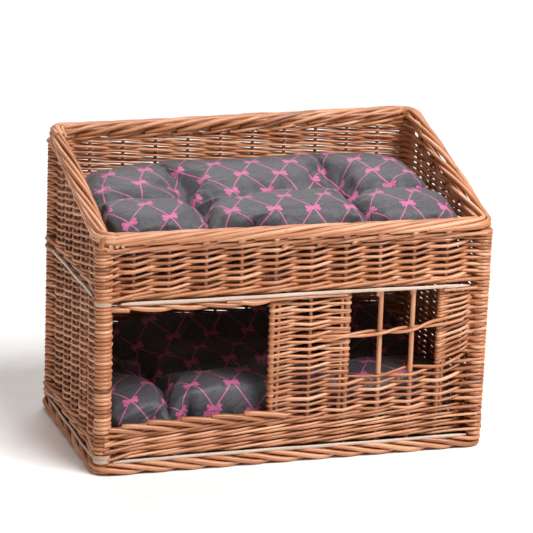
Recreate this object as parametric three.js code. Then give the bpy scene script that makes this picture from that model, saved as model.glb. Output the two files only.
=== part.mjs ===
// A wicker pet bed basket with two storeys: a woven house with a doorway and a paned window,
// and above it an open tray with a cushion, whose side walls slope down to a low front parapet.
// Millimetres, +X along the front, +Y towards the back wall, +Z up.
// The origin is under the middle of the basket, on the surface that it stands on.
import * as THREE from "three";

// ---------------------------------------------------------------- driving dimensions
const WIDTH = 660; // over the corner posts
const DEPTH = 360;
const GAP = 0.3; // left between pieces that touch
const POST_DIAMETER = 29; // a stick with the weavers bound round it
const WALL_THICKNESS = 18; // a stake with a weaver on each side
const WALL_END_CLEARANCE = 2; // from the post's side to the end of a wall

const FOOT_HEIGHT = 19.5; // the plaited border that the basket stands on
const FOOT_WIDTH = 24;
const FOOT_PROUD = 4; // past the corner posts

const BELT_BOTTOM = 283.5; // the band of waling at the tray's floor, on the front wall
const BELT_HEIGHT = 23.5;
const BELT_WIDTH = 21;
const SIDE_BELT_RISE = 6; // the belt sits higher on the other three walls

const RIM_HEIGHT = 23;
const RIM_WIDTH = 26;
const SIDE_RIM_WIDTH = 24;
const FRONT_RIM_TOP = 393;
const BACK_RIM_TOP_LEFT = 496; // the back rim climbs a little to the right
const BACK_RIM_TOP_RIGHT = 510;

const DOOR_RIGHT = -47; // the doorway runs from the left post to here
const DOOR_TOP = 264;
const SILL_LEFT = 80; // height of the doorway's sill at its two ends
const SILL_RIGHT = 87;
const SILL_BORDER = 10;
const LINTEL_HEIGHT = 11;

const WINDOW_LEFT = 92;
const WINDOW_RIGHT = 240;
const WINDOW_SILL_LEFT = 133; // the window's lower edge and transom climb to the right
const WINDOW_SILL_RIGHT = 147;
const TRANSOM_LEFT = 205;
const TRANSOM_RIGHT = 218;
const MULLION_PLACES = { left: 142.5, right: 198 };
const MULLION_DIAMETER = 8.5;
const TRANSOM_DIAMETER = 5; // each of its two rods
const JAMB_DIAMETER = 13;

const LATH_HEIGHT = 5.5; // peeled willow strips on the outside of the walls
const LATH_THICKNESS = 3.5;
const FRONT_MID_LATH_BOTTOM = 277;
const MID_LATH_LENGTH_FRONT = 580;
const MID_LATH_LENGTH_SIDE = 280;

const PANEL_THICKNESS = 12; // the woven floors of the two storeys
const FLOOR_CLEARANCE = 3; // from the walls, which keeps their corners clear of the posts
const STICK_DIAMETER = 14.5; // the round sticks that carry them
const STICK_PLACES = { left: -200, middle: 0, right: 200 };
const TRAY_FLOOR_BOTTOM = 296;

const SKEIN_THICKNESS = 1.4; // flat strips wound round the front left post
const SKEIN_FOOT_HEIGHT = 13;
const SKEIN_BELT_HEIGHT = 7;

const CUSHION_CLEARANCE = 6; // from the inside of the walls
const UPPER_CUSHION_THICKNESS = 118;
const LOWER_CUSHION_THICKNESS = 96;
const LOWER_CUSHION_CLIMB = 48; // how far its left and back edges climb the walls

// ---------------------------------------------------------------- places worked out from them
const POST_RADIUS = POST_DIAMETER / 2;
const POST_X = WIDTH / 2 - POST_RADIUS;
const POST_Y = DEPTH / 2 - POST_RADIUS;
const WALL_END_X = POST_X - POST_RADIUS - WALL_END_CLEARANCE;
const WALL_END_Y = POST_Y - POST_RADIUS - WALL_END_CLEARANCE;
const WALL_OUTER_Y = POST_Y + WALL_THICKNESS / 2;
const WALL_OUTER_X = POST_X + WALL_THICKNESS / 2;
const WALL_INNER_Y = POST_Y - WALL_THICKNESS / 2;
const WALL_INNER_X = POST_X - WALL_THICKNESS / 2;
const WALL_BOTTOM = FOOT_HEIGHT + GAP;
const FOOT_OUTER_X = WIDTH / 2 + FOOT_PROUD;
const FOOT_OUTER_Y = DEPTH / 2 + FOOT_PROUD;
const SIDE_BELT_BOTTOM = BELT_BOTTOM + SIDE_BELT_RISE;
const FRONT_RIM_BOTTOM = FRONT_RIM_TOP - RIM_HEIGHT;
const BASE_TOP = WALL_BOTTOM + PANEL_THICKNESS;
const TRAY_TOP = TRAY_FLOOR_BOTTOM + PANEL_THICKNESS;

// Height along a straight edge that is low at one end and high at the other.
function along(at, from, to, heightFrom, heightTo) {
  return heightFrom + ((heightTo - heightFrom) * (at - from)) / (to - from);
}

function backRimTop(x) {
  return along(x, -WIDTH / 2, WIDTH / 2, BACK_RIM_TOP_LEFT, BACK_RIM_TOP_RIGHT);
}

function sideRimTop(y, backTop) {
  return along(y, -DEPTH / 2, DEPTH / 2, FRONT_RIM_TOP, backTop);
}

function doorSill(x) {
  return along(x, -WALL_END_X, DOOR_RIGHT, SILL_LEFT, SILL_RIGHT);
}

function windowSill(x) {
  return along(x, WINDOW_LEFT, WINDOW_RIGHT, WINDOW_SILL_LEFT, WINDOW_SILL_RIGHT);
}

// ---------------------------------------------------------------- materials
function finish(color, roughness) {
  return new THREE.MeshStandardMaterial({ color, roughness, metalness: 0 });
}

const looks = {
  willow: () => finish(0xc8825a, 0.5),
  darkWillow: () => finish(0xb06f49, 0.55),
  peeledWillow: () => finish(0xe4d6c2, 0.6),
  fabric: () => finish(0x646269, 0.85),
};

// ---------------------------------------------------------------- kinds of piece
const basket = new THREE.Group();
const cushions = new THREE.Group();

function place(group, name, geometry, look) {
  const mesh = new THREE.Mesh(geometry, look());
  mesh.name = name;
  group.add(mesh);
  return mesh;
}

function outline(points) {
  return new THREE.Shape(points.map(([a, b]) => new THREE.Vector2(a, b)));
}

// An outline in x and z, as thick as the distance between two values of y.
function frontPlate(name, points, yFrom, yTo, look) {
  const geometry = new THREE.ExtrudeGeometry(outline(points), {
    depth: yTo - yFrom,
    bevelEnabled: false,
  });
  const mesh = place(basket, name, geometry, look);
  mesh.rotation.x = Math.PI / 2;
  mesh.position.y = yTo;
  return mesh;
}

// An outline in y and z, as thick as the distance between two values of x.
function sidePlate(name, points, xFrom, xTo, look, bevel = 0) {
  const geometry = new THREE.ExtrudeGeometry(outline(points), {
    depth: xTo - xFrom - 2 * bevel,
    bevelEnabled: bevel > 0,
    bevelSize: bevel,
    bevelThickness: bevel,
    bevelOffset: -bevel,
    bevelSegments: 3,
  });
  const mesh = place(basket, name, geometry, look);
  const across = new THREE.Matrix4().makeBasis(
    new THREE.Vector3(0, 1, 0),
    new THREE.Vector3(0, 0, 1),
    new THREE.Vector3(1, 0, 0),
  );
  mesh.quaternion.setFromRotationMatrix(across);
  mesh.position.x = xFrom + bevel;
  return mesh;
}

function plank(name, xRange, yRange, zRange, look) {
  const size = [xRange, yRange, zRange].map(([low, high]) => high - low);
  const middle = [xRange, yRange, zRange].map(([low, high]) => (low + high) / 2);
  const mesh = place(basket, name, new THREE.BoxGeometry(...size), look);
  mesh.position.set(...middle);
  return mesh;
}

// A round stick between two points.
function stick(name, from, to, diameter, look, sides = 16) {
  const start = new THREE.Vector3(...from);
  const end = new THREE.Vector3(...to);
  const run = end.clone().sub(start);
  const radius = diameter / 2;
  const geometry = new THREE.CylinderGeometry(radius, radius, run.length(), sides);
  const mesh = place(basket, name, geometry, look);
  const up = new THREE.Vector3(0, 1, 0);
  mesh.quaternion.setFromUnitVectors(up, run.normalize());
  mesh.position.copy(start.add(end).multiplyScalar(0.5));
  return mesh;
}

// A border: a bar with rounded edges between two points, which are the middle of its two ends.
function border(name, from, to, width, height, radius, look) {
  const section = new THREE.Shape();
  const a = width / 2;
  const b = height / 2;
  section.moveTo(a, -b + radius);
  section.absarc(a - radius, b - radius, radius, 0, Math.PI / 2);
  section.absarc(-a + radius, b - radius, radius, Math.PI / 2, Math.PI);
  section.absarc(-a + radius, -b + radius, radius, Math.PI, 1.5 * Math.PI);
  section.absarc(a - radius, -b + radius, radius, 1.5 * Math.PI, 2 * Math.PI);
  const start = new THREE.Vector3(...from);
  const end = new THREE.Vector3(...to);
  const geometry = new THREE.ExtrudeGeometry(section, {
    depth: start.distanceTo(end),
    bevelEnabled: false,
    curveSegments: 4,
  });
  const mesh = place(basket, name, geometry, look);
  mesh.position.copy(start);
  mesh.up.set(0, 0, 1);
  mesh.lookAt(end);
  return mesh;
}

// ---------------------------------------------------------------- the foot and the base
function makeFoot() {
  const z = FOOT_HEIGHT / 2;
  const radius = 6;
  const y = FOOT_OUTER_Y - FOOT_WIDTH / 2;
  const x = FOOT_OUTER_X - FOOT_WIDTH / 2;
  const sideEnd = FOOT_OUTER_Y - FOOT_WIDTH - GAP;
  for (const [name, side] of [["front", -1], ["back", 1]])
    border(
      `foot_border_${name}`,
      [-FOOT_OUTER_X, side * y, z],
      [FOOT_OUTER_X, side * y, z],
      FOOT_WIDTH,
      FOOT_HEIGHT,
      radius,
      looks.willow,
    );
  for (const [name, side] of [["left", -1], ["right", 1]])
    border(
      `foot_border_${name}`,
      [side * x, -sideEnd, z],
      [side * x, sideEnd, z],
      FOOT_WIDTH,
      FOOT_HEIGHT,
      radius,
      looks.willow,
    );
}

function makeFloors() {
  const halfX = WALL_INNER_X - FLOOR_CLEARANCE;
  const halfY = WALL_INNER_Y - FLOOR_CLEARANCE;
  const floors = [
    ["base_panel", WALL_BOTTOM, "base_stick", FOOT_OUTER_Y - FOOT_WIDTH - GAP],
    ["tray_floor", TRAY_FLOOR_BOTTOM, "tray_stick", POST_Y - BELT_WIDTH / 2 - GAP],
  ];
  for (const [panel, bottom, sticks, stickEnd] of floors) {
    const top = bottom + PANEL_THICKNESS;
    plank(panel, [-halfX, halfX], [-halfY, halfY], [bottom, top], looks.darkWillow);
    const z = bottom - GAP - STICK_DIAMETER / 2;
    for (const [place, x] of Object.entries(STICK_PLACES))
      stick(
        `${sticks}_${place}`,
        [x, -stickEnd, z],
        [x, stickEnd, z],
        STICK_DIAMETER,
        looks.willow,
      );
  }
}

// ---------------------------------------------------------------- posts
function makePosts() {
  const corners = [
    ["front_left", -1, -1, FRONT_RIM_BOTTOM],
    ["front_right", 1, -1, FRONT_RIM_BOTTOM],
    ["back_left", -1, 1, backRimTop(-WIDTH / 2) - RIM_HEIGHT],
    ["back_right", 1, 1, backRimTop(WALL_END_X) - RIM_HEIGHT],
  ];
  for (const [name, sideX, sideY, top] of corners)
    stick(
      `corner_post_${name}`,
      [sideX * POST_X, sideY * POST_Y, WALL_BOTTOM],
      [sideX * POST_X, sideY * POST_Y, top - GAP],
      POST_DIAMETER,
      looks.willow,
      24,
    );
}

// A flat strip wound round the front left post, as a thin ring.
function skein(name, bottom, height) {
  const inner = POST_RADIUS + GAP;
  const outer = inner + SKEIN_THICKNESS;
  const profile = [
    new THREE.Vector2(inner, 0),
    new THREE.Vector2(outer, 0),
    new THREE.Vector2(outer, height),
    new THREE.Vector2(inner, height),
    new THREE.Vector2(inner, 0),
  ];
  const ring = place(basket, name, new THREE.LatheGeometry(profile, 24), looks.peeledWillow);
  ring.rotation.x = Math.PI / 2;
  ring.position.set(-POST_X, -POST_Y, bottom);
}

// ---------------------------------------------------------------- the lower storey
function makeFrontWall() {
  const wallTop = BELT_BOTTOM - GAP;
  const y = [-WALL_OUTER_Y, -WALL_INNER_Y];
  const half = JAMB_DIAMETER / 2;
  const panel = (name, left, right, topLeft, topRight) =>
    frontPlate(
      name,
      [
        [left, WALL_BOTTOM],
        [right, WALL_BOTTOM],
        [right, topRight],
        [left, topLeft],
      ],
      ...y,
      looks.willow,
    );
  const jambs = [
    ["door_jamb_stick", DOOR_RIGHT + half],
    ["window_jamb_stick_left", WINDOW_LEFT - half],
    ["window_jamb_stick_right", WINDOW_RIGHT + half],
  ];
  for (const [name, x] of jambs)
    stick(name, [x, -POST_Y, WALL_BOTTOM], [x, -POST_Y, wallTop], JAMB_DIAMETER, looks.willow);

  const underSill = SILL_BORDER + GAP;
  panel(
    "front_sill_panel",
    -WALL_END_X,
    DOOR_RIGHT - GAP,
    SILL_LEFT - underSill,
    SILL_RIGHT - underSill,
  );
  panel(
    "front_middle_panel",
    DOOR_RIGHT + JAMB_DIAMETER + GAP,
    WINDOW_LEFT - JAMB_DIAMETER - GAP,
    wallTop,
    wallTop,
  );
  panel(
    "front_window_panel",
    WINDOW_LEFT + GAP,
    WINDOW_RIGHT - GAP,
    windowSill(WINDOW_LEFT),
    windowSill(WINDOW_RIGHT),
  );
  panel("front_right_panel", WINDOW_RIGHT + JAMB_DIAMETER + GAP, WALL_END_X, wallTop, wallTop);
}

function makeDoorway() {
  const left = -WALL_END_X;
  const right = DOOR_RIGHT - GAP;
  const sillMiddle = SILL_BORDER / 2;
  border(
    "door_sill_border",
    [left, -POST_Y, doorSill(left) - sillMiddle],
    [right, -POST_Y, doorSill(right) - sillMiddle],
    WALL_THICKNESS,
    SILL_BORDER,
    4,
    looks.willow,
  );
  const lintelZ = DOOR_TOP + LINTEL_HEIGHT / 2;
  border(
    "door_lintel",
    [left, -POST_Y, lintelZ],
    [right, -POST_Y, lintelZ],
    WALL_THICKNESS,
    LINTEL_HEIGHT,
    4,
    looks.willow,
  );
  plank(
    "door_head",
    [left, right],
    [-WALL_OUTER_Y, -WALL_INNER_Y],
    [DOOR_TOP + LINTEL_HEIGHT + GAP, BELT_BOTTOM - GAP],
    looks.willow,
  );
}

function makeWindowBars() {
  for (const [name, x] of Object.entries(MULLION_PLACES))
    stick(
      `window_mullion_${name}`,
      [x, -POST_Y, windowSill(x + MULLION_DIAMETER / 2) + GAP],
      [x, -POST_Y, BELT_BOTTOM - GAP],
      MULLION_DIAMETER,
      looks.willow,
    );
  const offset = MULLION_DIAMETER / 2 + TRANSOM_DIAMETER / 2 + GAP;
  for (const [name, side] of [["front", -1], ["back", 1]])
    stick(
      `window_transom_rod_${name}`,
      [WINDOW_LEFT + GAP, -POST_Y + side * offset, TRANSOM_LEFT],
      [WINDOW_RIGHT - GAP, -POST_Y + side * offset, TRANSOM_RIGHT],
      TRANSOM_DIAMETER,
      looks.willow,
      10,
    );
}

function makeLowerWalls() {
  const top = SIDE_BELT_BOTTOM - GAP;
  for (const [name, side] of [["left", -1], ["right", 1]]) {
    const x = [side * WALL_OUTER_X, side * WALL_INNER_X].sort((a, b) => a - b);
    plank(`lower_wall_${name}`, x, [-WALL_END_Y, WALL_END_Y], [WALL_BOTTOM, top], looks.willow);
  }
  plank(
    "lower_wall_back",
    [-WALL_END_X, WALL_END_X],
    [WALL_INNER_Y, WALL_OUTER_Y],
    [WALL_BOTTOM, top],
    looks.willow,
  );
}

// ---------------------------------------------------------------- laths and belt
function lathRing(name, bottoms, halfFront, halfSide) {
  const near = GAP;
  const far = GAP + LATH_THICKNESS;
  const z = (bottom) => [bottom, bottom + LATH_HEIGHT];
  const outerY = [WALL_OUTER_Y + near, WALL_OUTER_Y + far];
  const outerX = [WALL_OUTER_X + near, WALL_OUTER_X + far];
  const mirrored = ([low, high]) => [-high, -low];
  const runX = [-halfFront, halfFront];
  const runY = [-halfSide, halfSide];
  const look = looks.peeledWillow;
  plank(`${name}_front`, runX, mirrored(outerY), z(bottoms.front), look);
  plank(`${name}_back`, runX, outerY, z(bottoms.others), look);
  plank(`${name}_left`, mirrored(outerX), runY, z(bottoms.others), look);
  plank(`${name}_right`, outerX, runY, z(bottoms.others), look);
}

function makeBelt() {
  const radius = 6;
  const frontZ = BELT_BOTTOM + BELT_HEIGHT / 2;
  const z = frontZ + SIDE_BELT_RISE;
  const bar = (name, from, to) =>
    border(name, from, to, BELT_WIDTH, BELT_HEIGHT, radius, looks.willow);
  bar("belt_front", [-WALL_END_X, -POST_Y, frontZ], [WALL_END_X, -POST_Y, frontZ]);
  bar("belt_back", [-WALL_END_X, POST_Y, z], [WALL_END_X, POST_Y, z]);
  bar("belt_left", [-POST_X, -WALL_END_Y, z], [-POST_X, WALL_END_Y, z]);
  bar("belt_right", [POST_X, -WALL_END_Y, z], [POST_X, WALL_END_Y, z]);
}

// ---------------------------------------------------------------- the tray's walls and rims
function makeUpperWalls() {
  plank(
    "parapet_front",
    [-WALL_END_X, WALL_END_X],
    [-WALL_OUTER_Y, -WALL_INNER_Y],
    [BELT_BOTTOM + BELT_HEIGHT + GAP, FRONT_RIM_BOTTOM - GAP],
    looks.willow,
  );
  const bottom = SIDE_BELT_BOTTOM + BELT_HEIGHT + GAP;
  const belowRim = RIM_HEIGHT + GAP;
  frontPlate(
    "upper_wall_back",
    [
      [-WALL_END_X, bottom],
      [WALL_END_X, bottom],
      [WALL_END_X, backRimTop(WALL_END_X) - belowRim],
      [-WALL_END_X, backRimTop(-WALL_END_X) - belowRim],
    ],
    WALL_INNER_Y,
    WALL_OUTER_Y,
    looks.willow,
  );
  const frontRimInner = -DEPTH / 2 + RIM_WIDTH + GAP;
  const backPostInner = POST_Y - POST_RADIUS - GAP;
  for (const [name, side] of [["left", -1], ["right", 1]]) {
    const backTop = backRimTop((side * WIDTH) / 2);
    const wallX = [side * WALL_OUTER_X, side * WALL_INNER_X].sort((a, b) => a - b);
    sidePlate(
      `upper_wall_${name}`,
      [
        [-WALL_END_Y, bottom],
        [WALL_END_Y, bottom],
        [WALL_END_Y, sideRimTop(WALL_END_Y, backTop) - belowRim],
        [-WALL_END_Y, sideRimTop(-WALL_END_Y, backTop) - belowRim],
      ],
      ...wallX,
      looks.willow,
    );
    const rimX = [-1, 1].map((edge) => side * POST_X + (edge * SIDE_RIM_WIDTH) / 2);
    sidePlate(
      `rim_${name}`,
      [
        [frontRimInner, sideRimTop(frontRimInner, backTop) - RIM_HEIGHT],
        [backPostInner, sideRimTop(backPostInner, backTop) - RIM_HEIGHT],
        [backPostInner, sideRimTop(backPostInner, backTop)],
        [frontRimInner, sideRimTop(frontRimInner, backTop)],
      ],
      ...rimX,
      looks.willow,
      5,
    );
  }
}

function makeFrontAndBackRims() {
  const radius = 7;
  const y = DEPTH / 2 - RIM_WIDTH / 2;
  const middle = RIM_HEIGHT / 2;
  const end = WIDTH / 2;
  const bar = (name, from, to) =>
    border(name, from, to, RIM_WIDTH, RIM_HEIGHT, radius, looks.willow);
  bar("rim_front", [-end, -y, FRONT_RIM_TOP - middle], [end, -y, FRONT_RIM_TOP - middle]);
  bar("rim_back", [-end, y, backRimTop(-end) - middle], [end, y, backRimTop(end) - middle]);
}

// ---------------------------------------------------------------- cushions
// A box of unit half sizes whose points are moved: height(a, b) gives the top over the
// place (a, b), from -1 to 1 each way; the sides bulge between the top and the flat bottom.
function cushion(name, bottom, height) {
  const halfX = WALL_INNER_X - CUSHION_CLEARANCE;
  const halfY = WALL_INNER_Y - CUSHION_CLEARANCE;
  const pinch = 0.02; // how far the sides pull in between the corners
  const bulge = 0.035; // how far the sides' middle stands out past their top and bottom edges
  const geometry = new THREE.BoxGeometry(2, 2, 2, 22, 14, 4);
  const position = geometry.attributes.position;
  for (let i = 0; i < position.count; i++) {
    const a = position.getX(i);
    const b = position.getY(i);
    const c = position.getZ(i);
    const spread = 1 - bulge * c * c;
    const x = halfX * a * (spread - pinch * (1 - b * b));
    const y = halfY * b * (spread - pinch * (1 - a * a));
    position.setXYZ(i, x, y, bottom + (height(a, b) * (c + 1)) / 2);
  }
  geometry.computeVertexNormals();
  return place(cushions, name, geometry, looks.fabric);
}

function crown(a, b, edge) {
  const rise = (1 - a ** 6) * (1 - b ** 6);
  return edge + (1 - edge) * Math.sqrt(rise);
}

// Two tufts stand at about a quarter and three quarters of the width, with a dip round each.
function tuft(a, b) {
  const place = 0.46;
  const depth = 0.08; // shallow, because the cushion gives way there when something lies on it
  const reach = 0.3;
  return [-place, place].reduce(
    (sum, at) => sum - depth * Math.exp(-((a - at) ** 2 * 4 + b * b) / reach),
    0,
  );
}

function upperCushionHeight(a, b) {
  return UPPER_CUSHION_THICKNESS * (crown(a, b, 0.45) + tuft(a, b));
}

function lowerCushionHeight(a, b) {
  const left = THREE.MathUtils.smoothstep(-a, 0.6, 0.95);
  const back = THREE.MathUtils.smoothstep(b, 0.4, 0.9);
  const climb = LOWER_CUSHION_CLIMB * Math.max(left, back);
  return (LOWER_CUSHION_THICKNESS + climb) * crown(a, b, 0.55);
}

// ---------------------------------------------------------------- the whole basket
makeFoot();
makeFloors();
makePosts();
skein("skein_wrap_foot", WALL_BOTTOM, SKEIN_FOOT_HEIGHT);
skein("skein_wrap_belt", FRONT_MID_LATH_BOTTOM, SKEIN_BELT_HEIGHT);
makeFrontWall();
makeDoorway();
makeWindowBars();
makeLowerWalls();
lathRing("bottom_lath", { front: WALL_BOTTOM, others: WALL_BOTTOM }, WALL_END_X, WALL_END_Y);
lathRing(
  "mid_lath",
  { front: FRONT_MID_LATH_BOTTOM, others: FRONT_MID_LATH_BOTTOM + SIDE_BELT_RISE },
  MID_LATH_LENGTH_FRONT / 2,
  MID_LATH_LENGTH_SIDE / 2,
);
makeBelt();
makeUpperWalls();
makeFrontAndBackRims();
cushion("lower_cushion", BASE_TOP + GAP, lowerCushionHeight);
cushion("upper_cushion", TRAY_TOP + GAP, upperCushionHeight);

const petBed = new THREE.Group();
petBed.add(basket, cushions);

export default petBed;
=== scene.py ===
"""Looks of the wicker pet bed: every wall, border and floor is woven here rod by rod around the CAD frame.

Lengths are millimetres until a mesh is built. x runs to the right, y to the back and z up, as in the frame.
"""

import math

import bpy
import numpy as np
from mathutils import Matrix, Vector


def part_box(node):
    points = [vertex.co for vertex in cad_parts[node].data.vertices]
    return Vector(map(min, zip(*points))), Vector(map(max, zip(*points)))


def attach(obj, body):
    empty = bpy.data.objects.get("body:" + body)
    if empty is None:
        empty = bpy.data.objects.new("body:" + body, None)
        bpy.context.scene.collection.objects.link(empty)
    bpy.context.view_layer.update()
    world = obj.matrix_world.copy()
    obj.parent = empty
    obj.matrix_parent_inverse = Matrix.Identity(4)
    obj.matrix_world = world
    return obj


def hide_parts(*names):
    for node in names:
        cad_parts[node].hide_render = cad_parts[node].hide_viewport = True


MM = 0.001
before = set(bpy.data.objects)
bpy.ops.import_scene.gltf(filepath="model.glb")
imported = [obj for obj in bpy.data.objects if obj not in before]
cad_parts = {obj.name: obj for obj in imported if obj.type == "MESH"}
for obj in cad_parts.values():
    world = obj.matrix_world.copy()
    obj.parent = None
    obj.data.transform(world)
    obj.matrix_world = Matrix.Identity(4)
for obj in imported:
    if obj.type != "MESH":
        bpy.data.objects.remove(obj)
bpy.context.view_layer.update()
rng = np.random.default_rng(7)


def box_mm(node):
    """Lowest and highest corner of a CAD node in millimetres."""
    low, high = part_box(node)
    return np.array(low) / MM, np.array(high) / MM


# ---------------- places taken from the frame
POST_LOW, POST_HIGH = box_mm("corner_post_front_right")
POST_RADIUS = (POST_HIGH[0] - POST_LOW[0]) / 2
POST_X = POST_HIGH[0] - POST_RADIUS
POST_Y = -POST_LOW[1] - POST_RADIUS
FOOT_OUTER = -POST_Y - box_mm("foot_border_front")[0][1]
WALL_BOTTOM = box_mm("lower_wall_back")[0][2]
STICK_FOOT = WALL_BOTTOM - 8  # the upright sticks stand in the foot border
BELT_BOTTOM = box_mm("belt_front")[0][2]
SIDE_BELT_BOTTOM = box_mm("belt_back")[0][2]
FRONT_RIM_BOTTOM = box_mm("rim_front")[0][2]
BACK_LEFT_TOP = box_mm("corner_post_back_left")[1][2]
BACK_RIGHT_TOP = box_mm("corner_post_back_right")[1][2]
JAMB_DOOR = box_mm("door_jamb_stick")
JAMB_LEFT = box_mm("window_jamb_stick_left")
JAMB_RIGHT = box_mm("window_jamb_stick_right")
JAMB_RADIUS = (JAMB_DOOR[1][0] - JAMB_DOOR[0][0]) / 2
DOOR_TOP = box_mm("door_lintel")[0][2]
LATH_FRONT = box_mm("mid_lath_front")
WINDOW_SILL_LEFT = 133.0  # the sill rises to the right
WINDOW_SILL_RIGHT = box_mm("front_window_panel")[1][2]

# How far a corner has settled outwards from its place in the frame: (left, right) of each.
LEAN = {
    ("front", "bottom"): ((0, 0, 0), (5, 0, 0)),
    ("front", "top"): ((0, 0, 0), (5, 0, 0)),
    ("back", "bottom"): ((-6, 13, 0), (1, 9, 0)),
    ("back", "top"): ((-2, 8, 4), (0, 8, 5)),
}
LEAN_HEIGHT = 490.0


def lean(points):
    """Points moved with the corners of the basket, which is not quite square."""
    x = np.clip((points[:, :1] / POST_X + 1) / 2, -0.1, 1.1)
    y = np.clip((points[:, 1:2] / POST_Y + 1) / 2, -0.1, 1.1)
    z = np.clip(points[:, 2:] / LEAN_HEIGHT, 0, 1.1)
    moved = points.copy()
    for (depth, level), sides in LEAN.items():
        share = (y if depth == "back" else 1 - y) * (z if level == "top" else 1 - z)
        for move, part in zip(sides, (1 - x, x)):
            moved = moved + share * part * np.array(move, float)
    return moved


# ---------------- willow sizes
STAKE_RADIUS = 3.1
ROD_RADIUS = 2.75  # front and side weavers
FINE_RADIUS = 2.45  # weavers of the narrow panels beside the window
WALE_RADIUS = 3.2  # the three-rod bands at foot, tray and rim
BORDER_RADIUS = 4.1  # rods of the foot, rims, sill and lintel
STAKE_STEP = 57.4  # between the stakes of the front
RIM_CORNER = 15.0  # bend of the rims at a post


# ---------------- camera, light and floor
CAMERA_AZIMUTH, CAMERA_ELEVATION, CAMERA_ROLL = -18.34, 14.66, 1.87  # degrees
CAMERA_TARGET = Vector((0.0034, 0.0, 0.280))
CAMERA_DISTANCE = 3.4253
CAMERA_LENS = 138.5
ROOM_LIGHT = 0.10  # how much of the white room's light falls on the basket
PAPER_DEPTH = 0.0005  # of the floor below the basket's foot


def add_object(name, data):
    made = bpy.data.objects.new(name, data)
    bpy.context.scene.collection.objects.link(made)
    return made


def direction(azimuth, elevation):
    """The way to a viewpoint. azimuth 0 is the front, and 90 the right."""
    turn, rise = math.radians(azimuth), math.radians(elevation)
    return Vector((math.sin(turn) * math.cos(rise), -math.cos(turn) * math.cos(rise), math.sin(rise)))


def make_camera():
    back = direction(CAMERA_AZIMUTH, CAMERA_ELEVATION)
    roll = math.radians(CAMERA_ROLL)
    right = (-back).cross(Vector((0, 0, 1))).normalized()
    up = right.cross(-back)
    turned_right = right * math.cos(roll) + up * math.sin(roll)
    turned_up = up * math.cos(roll) - right * math.sin(roll)
    camera = add_object("camera", bpy.data.cameras.new("camera"))
    camera.data.lens = CAMERA_LENS
    camera.data.sensor_width = 36
    basis = Matrix((turned_right, turned_up, back)).transposed().to_4x4()
    camera.matrix_world = Matrix.Translation(CAMERA_TARGET + back * CAMERA_DISTANCE) @ basis
    bpy.context.scene.camera = camera


def add_lamp(light, aim, place=(0, 0, 0)):
    lamp = add_object(light.name, light)
    lamp.location = place
    lamp.rotation_euler = aim.to_track_quat("-Z", "Y").to_euler()


def soft_light(name, azimuth, elevation, spread, strength, colour=(1, 1, 1)):
    """Parallel light from a wide soft source in the given direction."""
    light = bpy.data.lights.new(name, "SUN")
    light.angle = math.radians(spread)
    light.energy = strength
    light.color = colour
    add_lamp(light, -direction(azimuth, elevation))


def make_studio():
    """The lights, a room that looks white, and a sheet of white paper under the basket."""
    soft_light("key_light", azimuth=30, elevation=53, spread=26, strength=2.6)
    box = bpy.data.lights.new("soft_box", "AREA")
    box.shape = "DISK"
    box.size = 0.7
    box.energy = 15
    place = Vector((0.85, -1.05, 1.35))
    add_lamp(box, Vector((0.1, 0, 0.3)) - place, place)
    soft_light("fill_light", azimuth=-75, elevation=42, spread=40, strength=0.58, colour=(1.0, 0.84, 0.70))
    soft_light("back_light", azimuth=165, elevation=52, spread=40, strength=1.5)
    world = bpy.data.worlds.new("studio")
    world.use_nodes = True
    tree = world.node_tree
    seen = add_node(tree, "ShaderNodeLightPath").outputs["Is Camera Ray"]
    strength = maths(tree, "MULTIPLY_ADD", seen, 1 - ROOM_LIGHT, ROOM_LIGHT)
    set_values(tree, tree.nodes["Background"], Color=(1, 1, 1), Strength=strength)
    bpy.context.scene.world = world
    bpy.context.scene.view_settings.view_transform = "Standard"
    bpy.ops.mesh.primitive_plane_add(size=40, location=(0, 0, -PAPER_DEPTH))
    floor = bpy.context.object
    floor.name = "studio_floor"
    material, tree, shader = new_material("floor_paper")
    speckle = add_node(tree, "ShaderNodeTexNoise", Scale=900.0, Detail=3.0).outputs["Fac"]
    paper = ramp(tree, speckle, (0.3, (0.86, 0.86, 0.86)), (0.7, (0.90, 0.90, 0.90)))
    set_values(tree, shader, Base_Color=paper, Roughness=0.9)
    floor.data.materials.append(material)


# ---------------- materials
def new_material(name):
    material = bpy.data.materials.new(name)
    material.use_nodes = True
    tree = material.node_tree
    return material, tree, tree.nodes["Principled BSDF"]


def feed(tree, socket, value):
    """Links another socket to this one, or gives it a constant of its own."""
    if isinstance(value, bpy.types.NodeSocket):
        tree.links.new(value, socket)
    elif value is not None:
        socket.default_value = (*value, 1) if socket.type == "RGBA" else value


def set_values(tree, node, **values):
    """Fills a node's inputs and settings by name, where an underscore stands for an input's space."""
    for key, value in values.items():
        name = key.replace("_", " ")
        if name in node.inputs:
            feed(tree, node.inputs[name], value)
        else:
            setattr(node, key, value)
    return node


def add_node(tree, kind, **values):
    return set_values(tree, tree.nodes.new(kind), **values)


def ramp(tree, source, *stops):
    """Colours for the values of source, each stop a place and a colour."""
    node = add_node(tree, "ShaderNodeValToRGB", Fac=source)
    elements = node.color_ramp.elements
    while len(elements) < len(stops):
        elements.new(0.5)
    for element, (place, colour) in zip(elements, stops):
        element.position = place
        element.color = (*colour, 1)
    return node.outputs["Color"]


def maths(tree, operation, *inputs):
    node = add_node(tree, "ShaderNodeMath", operation=operation)
    for socket, value in zip(node.inputs, inputs):
        feed(tree, socket, value)
    return node.outputs[0]


def mix_colour(tree, factor, first, second):
    node = add_node(tree, "ShaderNodeMix", data_type="RGBA")
    for index, value in ((0, factor), (6, first), (7, second)):  # the sockets of a colour mix
        feed(tree, node.inputs[index], value)
    return node.outputs[2]


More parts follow.
